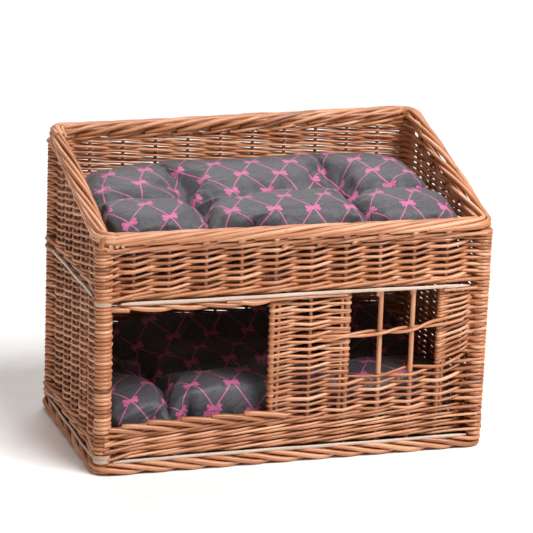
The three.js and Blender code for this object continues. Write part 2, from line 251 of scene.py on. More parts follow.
def bump(tree, height, strength, distance, normal=None):
    """The surface's direction, disturbed by height, on top of the direction normal if it is given."""
    node = add_node(tree, "ShaderNodeBump", Strength=strength, Distance=distance, Height=height,
                    Normal=normal)
    return node.outputs["Normal"]


def grain_noise(tree, across, along, detail=2.0):
    """Noise drawn out along the rod, from the grain vector that each rod carries."""
    grain = add_node(tree, "ShaderNodeAttribute", attribute_name="grain").outputs["Vector"]
    scale = add_node(tree, "ShaderNodeVectorMath", operation="MULTIPLY")
    feed(tree, scale.inputs[0], grain)
    feed(tree, scale.inputs[1], (across, across, along))
    place = scale.outputs["Vector"]
    return add_node(tree, "ShaderNodeTexNoise", Scale=1.0, Detail=detail, Vector=place).outputs["Fac"]


def willow_material(name, dark, middle, light, roughness):
    """Willow with long streaks, darker knots and a tone of its own for each rod."""
    material, tree, shader = new_material(name)
    tone = add_node(tree, "ShaderNodeAttribute", attribute_name="tone").outputs["Fac"]
    streak = grain_noise(tree, 900.0, 22.0, 3.0)
    patch = grain_noise(tree, 90.0, 14.0)
    mixed = maths(tree, "MULTIPLY_ADD", streak, 0.38, maths(tree, "MULTIPLY", patch, 0.32))
    level = maths(tree, "MULTIPLY_ADD", tone, 0.50, mixed)
    colour = ramp(tree, level, (0.28, dark), (0.58, middle), (0.90, light))
    knots = grain_noise(tree, 170.0, 36.0, 1.0)
    knot_mask = ramp(tree, knots, (0.70, (0, 0, 0)), (0.78, (1, 1, 1)))
    knotted = mix_colour(tree, maths(tree, "MULTIPLY", knot_mask, 0.65), colour, dark)
    relief = maths(tree, "MULTIPLY_ADD", knot_mask, 0.5, streak)
    set_values(tree, shader, Base_Color=knotted, Specular_IOR_Level=0.62,
               Roughness=maths(tree, "MULTIPLY_ADD", streak, 0.3, roughness - 0.15),
               Normal=bump(tree, relief, 0.35, 0.0006))
    return material


def pith_material():
    """The pale cut end of a rod, mottled with darker fibres."""
    material, tree, shader = new_material("willow_cut_end")
    fibres = grain_noise(tree, 1500.0, 900.0)
    colour = ramp(tree, fibres,
                  (0.3, (0.34, 0.20, 0.12)), (0.55, (0.55, 0.39, 0.27)), (0.8, (0.70, 0.55, 0.42)))
    set_values(tree, shader, Base_Color=colour, Roughness=0.8, Normal=bump(tree, fibres, 0.4, 0.0004))
    return material


# Each willow's dark, middle and light colour.
BUFF = ((0.165, 0.045, 0.016), (0.45, 0.164, 0.062), (0.74, 0.405, 0.235))
BARK = ((0.13, 0.042, 0.016), (0.34, 0.125, 0.052), (0.54, 0.25, 0.12))
PEELED = ((0.36, 0.25, 0.18), (0.60, 0.46, 0.37), (0.74, 0.64, 0.56))
WILLOW = willow_material("buff_willow", *BUFF, 0.38)
STICK = willow_material("willow_stick", *BARK, 0.55)
LATH = willow_material("peeled_willow", *PEELED, 0.50)
PITH = pith_material()

EDGE_SHARPNESS = 2.0  # of the printed edges, per millimetre


def bone_pattern(tree, uv):
    """How much of the pink print covers a place: a lattice of lines with a bone on each crossing."""
    across, down = 66.0, 94.0  # of one lattice cell
    line_half, bar_length, bar_half = 0.95, 9.0, 3.7
    lobe_x, lobe_y, lobe_radius = 9.4, 3.5, 3.3
    tilt = 0.12  # of the bones
    parts = add_node(tree, "ShaderNodeSeparateXYZ", Vector=uv)
    bend = add_node(tree, "ShaderNodeTexNoise", Scale=9.0, Detail=0.0, Vector=uv).outputs["Fac"]
    wave = maths(tree, "MULTIPLY_ADD", bend, 0.10, -0.05)
    u = maths(tree, "ADD", maths(tree, "DIVIDE", parts.outputs["X"], across * MM), wave)
    v = maths(tree, "DIVIDE", parts.outputs["Y"], down * MM)
    cell = []
    for operation in ("SUBTRACT", "ADD"):
        phase = maths(tree, "FRACT", maths(tree, "ADD", maths(tree, operation, u, v), 100.5))
        cell.append(maths(tree, "SUBTRACT", phase, 0.5))
    spread = 1 / math.hypot(1 / across, 1 / down)
    lines = []
    for phase in cell:
        distance = maths(tree, "MULTIPLY", maths(tree, "ABSOLUTE", phase), spread)
        lines.append(maths(tree, "SUBTRACT", distance, line_half))
    x = maths(tree, "MULTIPLY", maths(tree, "ADD", *cell), across / 2)
    y = maths(tree, "MULTIPLY", maths(tree, "SUBTRACT", cell[1], cell[0]), down / 2)
    along = maths(tree, "ABSOLUTE", maths(tree, "MULTIPLY_ADD", y, tilt, x))
    aside = maths(tree, "ABSOLUTE", maths(tree, "MULTIPLY_ADD", x, -tilt, y))
    bar = maths(tree, "MAXIMUM", maths(tree, "SUBTRACT", along, bar_length),
                maths(tree, "SUBTRACT", aside, bar_half))
    dx = maths(tree, "SUBTRACT", along, lobe_x)
    dy = maths(tree, "SUBTRACT", aside, lobe_y)
    reach = maths(tree, "SQRT", maths(tree, "MULTIPLY_ADD", dx, dx, maths(tree, "MULTIPLY", dy, dy)))
    lobe = maths(tree, "SUBTRACT", reach, lobe_radius)
    nearest = maths(tree, "MINIMUM", maths(tree, "MINIMUM", *lines), maths(tree, "MINIMUM", bar, lobe))
    covered = maths(tree, "MULTIPLY_ADD", nearest, -EDGE_SHARPNESS, 0.5)
    return maths(tree, "MINIMUM", maths(tree, "MAXIMUM", covered, 0.0), 1.0)


def fabric_material():
    """Grey cotton printed with a pink lattice of bones, with its threads and its rumples as bump."""
    material, tree, shader = new_material("printed_cotton")
    uv = add_node(tree, "ShaderNodeUVMap", uv_map="cloth").outputs["UV"]
    mask = bone_pattern(tree, uv)
    heather = add_node(tree, "ShaderNodeTexNoise", Scale=260.0, Detail=4.0, Vector=uv).outputs["Fac"]
    grey = ramp(tree, heather, (0.3, (0.042, 0.039, 0.048)), (0.7, (0.073, 0.069, 0.081)))
    pink = ramp(tree, heather, (0.3, (0.44, 0.080, 0.21)), (0.7, (0.59, 0.130, 0.31)))
    threads = []
    for axis in ("X", "Y"):
        wave = add_node(tree, "ShaderNodeTexWave", wave_type="BANDS", bands_direction=axis, Vector=uv,
                        Scale=520.0, Distortion=1.2, Detail=1.0)
        threads.append(wave.outputs["Fac"])
    weave_height = maths(tree, "MAXIMUM", *threads)
    rumple = add_node(tree, "ShaderNodeTexNoise", Scale=19.0, Detail=3.0, Roughness=0.45, Distortion=1.3,
                      Vector=uv).outputs["Fac"]
    soft = bump(tree, rumple, 0.55, 0.012)
    set_values(tree, shader, Base_Color=mix_colour(tree, mask, grey, pink),
               Normal=bump(tree, weave_height, 0.25, 0.0003, soft),
               Roughness=maths(tree, "MULTIPLY_ADD", weave_height, -0.12, 0.66),
               Specular_IOR_Level=0.6, Sheen_Weight=0.2, Sheen_Roughness=0.4)
    return material


FABRIC = fabric_material()


# ---------------- rods
def unit(vectors):
    return vectors / np.maximum(np.linalg.norm(vectors, axis=-1, keepdims=True), 1e-9)


def circle(count):
    """Angles evenly spaced round a full turn."""
    return np.linspace(0, 2 * math.pi, count + 1)[:-1]


def smooth_path(points, step):
    """A Catmull-Rom curve through the points, sampled about every step millimetres."""
    points = np.asarray(points, float)
    padded = np.vstack([2 * points[0] - points[1], points, 2 * points[-1] - points[-2]])
    made = []
    for a, b, c, d in zip(padded, padded[1:], padded[2:], padded[3:]):
        count = max(2, int(np.linalg.norm(c - b) / step))
        t = np.linspace(0, 1, count, endpoint=False)[:, None]
        made.append(0.5 * (2 * b + (c - a) * t + (2 * a - 5 * b + 4 * c - d) * t**2
                           + (3 * b - a - 3 * c + d) * t**3))
    made.append(points[-1:])
    return np.vstack(made)


CAP_ANGLE = math.radians(70)  # edges sharper than this, as round a cut end, stay sharp


class Bundle:
    """Rods that are gathered into one mesh."""

    def __init__(self, name):
        self.name = name
        self.points, self.grain, self.tone, self.quads, self.caps, self.pale = [], [], [], [], [], []
        self.count = 0

    def rod(self, line, radius, sides=6, flat=1.0, square=1.0, closed=False, tone=None,
            first=None, cut=()):
        """One rod along a line. flat thins it, square below 1 gives it flat faces, and cut names
        the ends that show fresh pith: 0 is its first end and 1 its last."""
        line = np.asarray(line, float)
        n = len(line)
        radius = np.broadcast_to(np.asarray(radius, float), n)
        if closed:
            tangent = unit(np.roll(line, -1, 0) - np.roll(line, 1, 0))
        else:
            tangent = unit(np.gradient(line, axis=0))
        side = np.zeros((n, 3))
        if first is None:
            first = (0, 0, 1) if abs(tangent[0][2]) < 0.8 else (1, 0, 0)
        last = np.array(first, float)
        for k in range(n):
            last = last - tangent[k] * (last @ tangent[k])
            last = last / math.sqrt(last @ last)
            side[k] = last
        other = np.cross(tangent, side)
        angle = np.arange(sides) * 2 * math.pi / sides + math.pi / sides
        c, s = np.cos(angle), np.sin(angle)
        c = np.sign(c) * np.abs(c) ** square
        s = np.sign(s) * np.abs(s) ** square
        ring = side[:, None] * c[None, :, None] + other[:, None] * (s * flat)[None, :, None]
        places = line[:, None] + ring * radius[:, None, None]
        run = np.concatenate([[0], np.cumsum(np.linalg.norm(np.diff(line, axis=0), axis=1))])
        offset = rng.uniform(0, 2000, 3)
        across = radius[:, None]
        grain = np.stack([across * c, across * s, np.repeat(run[:, None], sides, 1)], axis=-1)
        if tone is None:
            tone = rng.normal(0.5, 0.2)
        self.points.append(places.reshape(-1, 3))
        self.grain.append((grain + offset).reshape(-1, 3))
        self.tone.append(np.full(n * sides, tone))
        rows = np.arange(n if closed else n - 1)
        a = self.count + rows[:, None] * sides + np.arange(sides)
        b = self.count + rows[:, None] * sides + (np.arange(sides) + 1) % sides
        ahead = self.count + ((rows + 1) % n)[:, None] * sides
        d = ahead + np.arange(sides)
        e = ahead + (np.arange(sides) + 1) % sides
        self.quads.append(np.stack([a, b, e, d], -1).reshape(-1, 4))
        if not closed:
            self.caps.append(self.count + np.arange(sides)[::-1])
            self.caps.append(self.count + (n - 1) * sides + np.arange(sides))
            self.pale += [0 in cut, 1 in cut]
        self.count += n * sides

    def build(self, nodes, slot="willow", material=WILLOW):
        """The mesh of all rods, which stands for the CAD nodes."""
        mesh = bpy.data.meshes.new(self.name)
        points = lean(np.vstack(self.points)) * MM
        quads = np.vstack(self.quads)
        cap_corners = np.concatenate([np.zeros(0, int), *self.caps])
        cap_sizes = np.array([len(cap) for cap in self.caps], int)
        corners = np.concatenate([quads.ravel(), cap_corners])
        sizes = np.concatenate([np.full(len(quads), 4), cap_sizes])
        mesh.vertices.add(len(points))
        mesh.vertices.foreach_set("co", points.ravel())
        mesh.loops.add(len(corners))
        mesh.loops.foreach_set("vertex_index", corners.astype(np.int32))
        mesh.polygons.add(len(sizes))
        starts = np.concatenate([[0], np.cumsum(sizes)[:-1]])
        mesh.polygons.foreach_set("loop_start", starts.astype(np.int32))
        slots = np.concatenate([np.zeros(len(quads)), self.pale]).astype(np.int32)
        mesh.polygons.foreach_set("material_index", slots)
        mesh.update(calc_edges=True)
        mesh.validate()
        mesh.shade_smooth()
        mesh.set_sharp_from_angle(angle=CAP_ANGLE)
        grain = mesh.attributes.new("grain", "FLOAT_VECTOR", "POINT")
        grain.data.foreach_set("vector", (np.vstack(self.grain) * MM).astype(np.float32).ravel())
        tone = mesh.attributes.new("tone", "FLOAT", "POINT")
        tone.data.foreach_set("value", np.concatenate(self.tone).astype(np.float32))
        mesh.materials.append(material)
        mesh.materials.append(PITH)
        piece = add_object(self.name, mesh)
        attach(piece, "basket")
        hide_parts(*nodes)


# ---------------- walls and posts
class Wall:
    """A wall seen from outside: s runs to the right from its left post, z up and n outward."""

    def __init__(self, outward, length):
        self.outward = np.array([*outward, 0.0])
        self.along = np.array([-outward[1], outward[0], 0.0])
        self.length = length
        half = np.array([POST_X, POST_Y, 0.0])
        self.start = self.outward * half - self.along * half

    def at(self, s, z, n):
        s, z, n = np.broadcast_arrays(*(np.asarray(value, float) for value in (s, z, n)))
        up = np.array([0.0, 0.0, 1.0])
        return self.start + s[..., None] * self.along + n[..., None] * self.outward + z[..., None] * up


FRONT = Wall((0, -1), 2 * POST_X)
RIGHT = Wall((1, 0), 2 * POST_Y)
BACK = Wall((0, 1), 2 * POST_X)
LEFT = Wall((-1, 0), 2 * POST_Y)
SIDES = {"front": FRONT, "right": RIGHT, "back": BACK, "left": LEFT}
WALLS = list(SIDES.values())


def x_to_s(x):
    """The place along the front wall of an x."""
    return x + POST_X


FRONT_STAKES = np.concatenate([[0], x_to_s(-268.6) + STAKE_STEP * np.arange(10) * 1.0095, [2 * POST_X]])
MIDDLE_STAKE = x_to_s(23.0)  # of the panel between the doorway and the window
MULLIONS = [x_to_s(142.5), x_to_s(198.0)]
POST_PITCH = ([30, 150, 280, 330], [7.0, 6.6, 6.0, 5.5])  # heights, and how far apart the turns are there
WRAP_SHARE = 0.49  # radius of a rod round a post, as a share of the pitch
LEVEL_REACH = 9  # how far a rod may climb or fall to the level that it takes


class Post:
    """The levels at which rods go round a corner post, each of which one rod can have."""

    def __init__(self, corner, wall):
        self.name = "corner_post_" + corner
        self.wall = wall  # the wall whose left end it is
        self.levels = []
        z, top = WALL_BOTTOM + 3.2, box_mm(self.name)[1][2]
        while z < top:
            pitch = np.interp(z, *POST_PITCH)
            self.levels.append((z, pitch))
            z += pitch
        self.used = set()

    def take(self, z, parity):
        """The nearest free level of that parity and its rod radius."""
        free = [k for k in range(parity, len(self.levels), 2) if k not in self.used]
        if not free:
            return None
        k = min(free, key=lambda k: abs(self.levels[k][0] - z))
        if abs(self.levels[k][0] - z) > LEVEL_REACH:
            return None
        self.used.add(k)
        level, pitch = self.levels[k]
        return level, pitch * WRAP_SHARE

    def build(self):
        """The post's own stick, and a ring at each level that no rod has taken."""
        rods = Bundle(self.name + "_wrapped")
        for k, (z, pitch) in enumerate(self.levels):
            if k in self.used:
                continue
            radius = pitch * WRAP_SHARE
            reach = POST_RADIUS - radius
            angle = circle(20) + rng.uniform(0, 6)
            tilt = rng.normal(0, 0.25)
            ring = self.wall.at(reach * np.cos(angle), z + tilt * np.sin(angle), reach * np.sin(angle))
            rods.rod(ring, radius, closed=True, first=(0, 0, 1))
        z = np.linspace(STICK_FOOT, self.levels[-1][0] + 4, 24)
        rods.rod(self.wall.at(0, z, 0), POST_RADIUS - 4.6, sides=10, tone=0.3)
        rods.build([self.name])


POST_CORNERS = ("front_left", "front_right", "back_right", "back_left")
POSTS = [Post(corner, wall) for corner, wall in zip(POST_CORNERS, WALLS)]
for number, one_wall in enumerate(WALLS):
    one_wall.posts = POSTS[number], POSTS[(number + 1) % 4]  # at its left end and its right end


SAMPLE_STEP = 7.5  # between the samples of a weaver
TAPER = (1.08, 0.92)  # radius of a rod at its thick and its thin end, as a share of the mean
TUCK_DEPTH, TUCK_SAMPLES = 4, 5  # how far inside the wall a weaver's cut end lies, and over how many samples
POST_REACH = 0.85  # how much of the way out to the post's face a weaver goes at a post
WRAP_ANGLES = np.radians(np.arange(15, 216, 20))
JAMB_ANGLES = WRAP_ANGLES[:8]
OVERLAP = 3  # samples of a rod's line that its turn round a stick takes over


def wrap(centre_s, reach, z, end, angles=WRAP_ANGLES):
    """Points round a vertical stick at a rod's left end (0) or right end (1), in the rod's order."""
    side = (-1, 1)[end]
    points = [(centre_s + side * reach * math.sin(a), z, reach * math.cos(a)) for a in angles]
    return points if end else points[::-1]


def add_turns(line, size, turns, turn_radii):
    """A rod's line and radii, with the turns round the sticks at its two ends."""
    first = OVERLAP if len(turns[0]) else 0
    last = len(line) - (OVERLAP if len(turns[1]) else 0)
    sizes = [np.full(len(turn), radius) for turn, radius in zip(turns, turn_radii)]
    line = np.vstack([part for part in (turns[0], line[first:last], turns[1]) if len(part)])
    return line, np.concatenate([sizes[0], size[first:last], sizes[1]])


def value_at(level, s):
    """A level that is either a number or a function of s."""
    return level(s) if callable(level) else level


def weave(rods, wall, stakes, rows, height, side, radius, stake_radius=STAKE_RADIUS, slot=1.8,
          ends=("post", "post"), limits=None, parity=(0, 1)):
    """Rows of randing. stakes lists s of the sticks, ends included; height(i, s) is a row's centre line;
    side(i, j) is 1 where row i passes in front of stake j and -1 behind; slot is how far that moves it
    down or up; limits are the lowest and highest place a rod may have, each a number or a function of s."""
    stakes = np.asarray(stakes, float)
    places = np.arange(len(stakes))
    for i in rows:
        signs = np.array([side(i, j) for j in places], float)
        steps = max(6, int(round((stakes[1] - stakes[0]) / SAMPLE_STEP)))
        j = np.linspace(0, len(stakes) - 1, (len(stakes) - 1) * steps + 1)
        s = np.interp(j, places, stakes)
        k = np.minimum(j.astype(int), len(stakes) - 2)
        t = j - k
        bend = (signs[k] + signs[k + 1]) / 2 + (signs[k] - signs[k + 1]) / 2 * (
            0.5 * np.cos(math.pi * t) + 0.5 * (1 - 2 * t))
        straight = np.interp(j, places, signs)
        z = height(i, s) - slot * straight + rng.normal(0, 0.3)
        keep = np.ones(len(s), bool)
        if limits is not None:
            low, high = (value_at(limit, s) for limit in limits)
            keep = (z >= low) & (z <= high)
            if keep.sum() < steps:
                continue
            first, last = np.flatnonzero(keep)[[0, -1]]
            keep[:] = False
            keep[first:last + 1] = True
        reach = np.full(len(s), stake_radius + radius)
        bulge = 1 + 0.12 * np.sin(s * 0.021 + rng.uniform(0, 6))
        taper = np.linspace(*TAPER, len(s))
        thick = radius * (1 + 0.06 * rng.normal()) * taper ** rng.choice([-1, 1])
        turns, turn_radii = [[], []], [radius, radius]
        for end, (kind, index) in enumerate(zip(ends, (0, -1))):
            if not keep[index]:
                continue
            near = np.clip(1 - np.abs(j - j[index]), 0, 1)
            if kind == "jamb":
                turn = JAMB_RADIUS - radius
                reach = reach + (turn - stake_radius - radius) * near
                turns[end] = wrap(stakes[index], turn, z[index], end, JAMB_ANGLES)
                continue
            reach = reach + (POST_RADIUS - 2 * radius) * near * POST_REACH
            if signs[index] < 0:
                continue
            taken = wall.posts[end].take(z[index], parity[end])
            if taken is None:
                bend = np.where(near > 0, bend * (1 - 2 * near), bend)
                continue
            level, turn_radii[end] = taken
            z = z + (level - z[index]) * near**1.5
            turns[end] = wrap(stakes[index], POST_RADIUS - turn_radii[end], level, end)
        n = bend * reach + rng.normal(0, 0.2)
        for tucked, order in ((not keep[0], 1), (not keep[-1], -1)):
            if tucked:
                inset = np.cumsum(keep[::order])[::order]
                n = n - (n + TUCK_DEPTH) * np.clip(1 - inset / TUCK_SAMPLES, 0, 1)
        line, radii = add_turns(np.stack([s, z, n], 1)[keep], (thick * bulge)[keep], turns, turn_radii)
        if len(radii) > 6:  # no step where a turn begins
            radii = np.convolve(np.pad(radii, 2, mode="edge"), np.ones(5) / 5, mode="valid")
        rods.rod(wall.at(*line.T), radii)


def alternate(i, j):
    return 1 if (i + j) % 2 == 0 else -1


def put_stakes(rods, wall, places, bottom, top, doubled=False):
    """Upright stakes. top may be a function of s. doubled gives two slim ones side by side."""
    for s in places:
        for shift in ((-1, 1) if doubled else (0,)):
            end = value_at(top, s)
            z = np.linspace(bottom, end, max(6, int((end - bottom) / 20)))
            size = STAKE_RADIUS * (0.82 if doubled else 1.0) * np.linspace(*TAPER, len(z))
            sway = rng.normal(0, 0.5) * np.sin(np.linspace(0, 3, len(z)))
            place = s + shift * STAKE_RADIUS * 0.85 + sway
            rods.rod(wall.at(place, z, rng.normal(0, 0.2)), size, sides=8)


def wale(rods, wall, stakes, bottom, rounds=1, pitch=13.0, radius=WALE_RADIUS, lift=5.4, parity=(0, 1)):
    """Rounds of three-rod waling: each rod passes in front of two stakes and behind the third. bottom
    may also be a function of s and of a round's number, which gives that round's centre line."""
    stakes = np.asarray(stakes, float)
    steps = 8
    j = np.linspace(0, len(stakes) - 1, (len(stakes) - 1) * steps + 1)
    s = np.interp(j, np.arange(len(stakes)), stakes)
    cycle_side = np.array([1.0, 1.0, -1.0, 1.0])
    near = np.clip(1 - j, 0, 1) + np.clip(j - j[-1] + 1, 0, 1)
    for turn in range(rounds):
        base = bottom(s, turn) if callable(bottom) else bottom + (turn + 0.5) * pitch
        for q in range(3):
            phase = (j + q) % 3
            k = phase.astype(int)
            t = (1 - np.cos(math.pi * (phase - k))) / 2
            out = cycle_side[k] * (1 - t) + cycle_side[k + 1] * t
            rise = np.interp(phase, [0, 1.45, 2, 2.55, 3], [-0.5, 0.95, 0, -0.95, -0.5])
            reach = STAKE_RADIUS + radius + (POST_RADIUS - 2 * radius - 1) * near
            z = base + lift * rise * (1 - 0.5 * near) + rng.normal(0, 0.3)
            size = radius * (1 + 0.08 * rng.normal()) * np.linspace(1.06, 0.94, len(s))
            line = np.stack([s, z, out * reach + 0.4 * rise], 1)
            turns = [[], []]
            for end, index in enumerate((0, -1)):
                taken = wall.posts[end].take(z[index], parity[end]) if out[index] > 0 else None
                if taken is None:
                    continue
                level, level_radius = taken
                line[:, 1] += (level - z[index]) * np.clip(1 - np.abs(j - j[index]), 0, 1) ** 1.5
                turns[end] = wrap(stakes[index], POST_RADIUS - level_radius, level, end)
            line, sizes = add_turns(line, size, turns, (radius, radius))
            rods.rod(wall.at(*line.T), sizes)


# ---------------- borders along a line
def stroke(rods, place, shape, radius, tone=None, blunt=False, span=None, cut=()):
    """One border rod through given (s, z, n) points, thick in its middle. blunt keeps its first
    end thick, and span keeps only what lies between two values of s."""
    points = smooth_path(shape, 5.0)
    run = np.linspace(0, 1, len(points))
    size = radius * (0.78 + 0.30 * np.sin(math.pi * run) ** 0.6)
    if blunt:
        size = np.where(run < 0.5, radius * 1.05, size)
    if span is not None:
        inside = (points[:, 0] >= span[0]) & (points[:, 0] <= span[1])
        points, size = points[inside], size[inside]
        if len(points) < 4:
            return
    if blunt:
        ahead = unit(points[0] - points[1])
        points = np.vstack([points[0] + ahead * 2.4, points[0] + ahead * 1.7, points])
        size = np.concatenate([[radius * 0.45, radius * 0.85], size])
    rods.rod(place(*points.T), size, sides=8, tone=tone, cut=cut)


class Border:
    """The way round the basket along its walls: s runs round the whole border, with a bend of
    radius corner at each post. lift(s) is the height of its underside."""

    def __init__(self, corner, lift):
        straight_x, straight_y = 2 * (POST_X - corner), 2 * (POST_Y - corner)
        bend = corner * math.pi / 2
        self.corner, self.lift = corner, lift
        self.edges = np.concatenate([[0], np.cumsum([straight_x, bend, straight_y, bend] * 2)])
        self.around = self.edges[-1]

    def place(self, s, z, n):
        """Points of the basket: z is height above the underside and n how far out."""
        made = []
        for run, height, out in zip(s % self.around, z, n):
            height = height + self.lift(run)
            index = min(int(np.searchsorted(self.edges, run, side="right")) - 1, 7)
            wall = WALLS[index // 2]
            run = run - self.edges[index]
            if index % 2 == 0:
                made.append(wall.at(self.corner + run, height, out))
            else:
                turn = run / self.corner
                reach = max(self.corner + out, 1.0)
                beyond = wall.length - self.corner + reach * math.sin(turn)
                made.append(wall.at(beyond, height, reach * math.cos(turn) - self.corner))
        return np.array(made)


def core_rods(rods, place, low, high, places, radius, count=60, tone=None):
    """Straight rods that fill the inside of a border, at each (z, n) of places."""
    s = np.linspace(low, high, count)
    for z, n in places:
        rods.rod(place(s, np.full(count, z), np.full(count, n)), radius, sides=8, tone=tone)


# The course of a rod in each border: (s, z, n), with s from where the rod begins.
FOOT_ROD = np.array([(-24, 17.0, -9), (0, 15.8, -4), (22, 13.2, -0.5), (46, 8.2, 0), (70, 4.3, -1.2),
                     (92, 6.0, -5), (114, 9.5, -11)])
FOOT_INNER_ROD = np.array([(-10, 6.0, -12), (30, 5.2, -16), (70, 9.5, -17), (105, 14, -13)])
RIM_ROD = np.array([(-10, 4.4, -2.5), (24, 6.0, -0.2), (62, 9.6, 0.6), (105, 14.0, -0.6), (142, 17.0, -5.0),
                    (178, 17.6, -11.0), (212, 15.0, -17.0), (240, 10.0, -19.5), (264, 4.5, -18.5),
                    (292, -1.0, -11.0)])
LINTEL_ROD = np.array([(-12, 11, -1.0), (0, 10, 4.5), (14, 7.6, 7.6), (34, 4.6, 8.0), (54, 3.4, 7.2),
                       (70, 3.6, 3.5), (84, 5.5, -2.0)])
SILL_ROD = np.array([(0, 1.6, 7.6), (14, 1.8, 9.0), (34, -0.6, 8.8), (58, -4.6, 7.6), (84, -10.0, 3.5),
                     (108, -14.0, -4.0)])


def make_foot():
    """The plaited foot: long rods that each dive under the next, all round the base."""
    border = Border(9.0, lambda s: 0.0)
    count = 36
    step = border.around / count
    radius = BORDER_RADIUS * 0.92
    outer = FOOT_OUTER - radius
    for k, name in enumerate(SIDES):
        rods = Bundle("foot_border_" + name + "_plait")
        low, high = border.edges[2 * k] - 0.5, border.edges[2 * k + 2] - 0.5
        for s in (np.arange(count) + 0.3) * step:
            if not low <= s < high:
                continue
            jog = rng.normal(0, 2.5)
            thick = radius * (1 + rng.normal(0, 0.06))
            shape = FOOT_ROD + (s, 0, outer)
            shape[3:5, 0] += jog
            stroke(rods, border.place, shape, thick)
            stroke(rods, border.place, FOOT_INNER_ROD + (s, 0, outer), radius * 0.9)
        core_rods(rods, border.place, low + 0.5, high, ((13.0, outer - 10.5), (6.6, outer - 9.5)),
                  radius * 0.9, tone=0.3)
        rods.build(["foot_border_" + name])


def make_rims():
    """The border of the open top: every stake is laid over to the right, up the outside, over the
    top and down inside, so that three rods show side by side."""
    front = FRONT_RIM_BOTTOM
    border = Border(RIM_CORNER, None)
    e = border.edges
    heights = [front, front, front + 3, BACK_RIGHT_TOP - 2, BACK_RIGHT_TOP, BACK_RIGHT_TOP, BACK_LEFT_TOP,
               BACK_LEFT_TOP, BACK_LEFT_TOP - 2, front + 3, front]
    knots = [0, e[1] - 4, e[2], e[3], (e[3] + e[4]) / 2, e[4], e[5], e[6], e[6] + 2, e[7], e[8]]
    border.lift = lambda s: float(np.interp(s, knots, heights))
    # Spacing of the rods, their radius, how far out they lie, how far they go past each end of
    # the side, and the number of the first one.
    settings = {
        "front": (57.4, 3.75, 10.5, (-10, 250), -3),
        "right": (50.3, 3.9, 13.5, (-150, 250), 0),
        "back": (57.4, 4.1, 10.0, (-250, 22), 0),
        "left": (50.3, 3.8, 11.0, (-26, 4), -3),
    }
    for k, name in enumerate(SIDES):
        spacing, radius, reach, (before, after), first = settings[name]
        low, high = e[2 * k], e[2 * k + 2]
        rods = Bundle("rim_" + name + "_plait")
        for start in np.arange(low + first * spacing, high + 1, spacing):
            start = start + rng.normal(0, 3)
            jog, out = rng.normal(0, 0.6), reach + rng.normal(0, 0.7)
            thick = radius * (1 + rng.normal(0, 0.08))
            shape = RIM_ROD + (start, 0, out)
            shape[2:5, 1] += jog
            stroke(rods, border.place, shape, thick, span=(low + before, high + after),
                   tone=rng.normal(0.55, 0.14))
        end = high - (26 if name == "left" else 3)
        core_rods(rods, border.place, low + 3, end, ((6.5, 0.5), (10.5, -4.5)), radius, tone=0.25)
        if name == "front":
            finish_front_rim(rods)
        rods.build(["rim_" + name])


def finish_front_rim(rods):
    """Cut ends below the front rim and the stub that stands on the left post."""
    low = FRONT_RIM_BOTTOM
    cut_ends(rods, FRONT_STAKES[3:-1] - 8, low + 1.5, 13.4, 2.7)
    cut_ends(rods, FRONT_STAKES[5:8] + 6, low - 9.5, 10.2, 2.5)
    ahead = np.linspace(0, 1, 5)
    for s in (6, 16, 25):
        line = FRONT.at(s + ahead, low + 8.0 - 5 * ahead, -2 + 17 * ahead)
        rods.rod(line, 3.0, sides=8, cut=(1,))
    stub = smooth_path([(-6, low - 8, 7.5), (-5.5, low + 5, 8.0), (-3, low + 12, 7.5), (4, low + 16, 5.5),
                        (12, low + 17, 2.0)], 3.0)
    rods.rod(FRONT.at(*stub.T), 4.4, sides=10)


def cut_ends(rods, places, height, n, radius):
    """Short pale-ended rods that poke out of the front border."""
    for s in places:
        drop = rng.uniform(1.0, 3.0)
        line = [(s + 11, height + drop, n - 6.0), (s + 4, height + drop / 3, n - 1.6), (s, height, n + 1.4)]
        rods.rod(FRONT.at(*np.array(line).T), radius, sides=8, cut=(1,))


# ---------------- the front wall
def make_parapet():
    rods = Bundle("parapet_front_weave")
    base, pitch, rise = BELT_BOTTOM + 12.5, 5.35, 6.0
    rim = FRONT_RIM_BOTTOM

    def height(i, s):
        j = np.interp(s, FRONT_STAKES, np.arange(len(FRONT_STAKES)))
        return base + 3 + pitch * i + rise * j

    weave(rods, FRONT, FRONT_STAKES, range(-13, 12), height, alternate, ROD_RADIUS * 1.02,
          slot=2.4, limits=(base - 9, rim - 6))
    put_stakes(rods, FRONT, FRONT_STAKES[1:-1], DOOR_TOP + 3, rim + 8)
    wale(rods, FRONT, FRONT_STAKES, rim - 10.5)
    rods.build(["parapet_front"])


def edge_rods(rods, wall, heights):
    """Straight rods inside a wall, to which the edge of the tray is tied."""
    s = np.linspace(12, wall.length - 12, 40)
    for z in heights:
        wave = 0.5 * np.sin(s * 0.03 + rng.uniform(0, 6))
        rods.rod(wall.at(s, z + wave, -STAKE_RADIUS - ROD_RADIUS), ROD_RADIUS * 1.1, tone=0.3)


def make_front_belt():
    rods = Bundle("belt_front_waling")
    edge_rods(rods, FRONT, BELT_BOTTOM + np.array([1.0, 7.0, 13.0, 19.0]))
    wale(rods, FRONT, FRONT_STAKES, BELT_BOTTOM - 0.2)
    rods.build(["belt_front"])


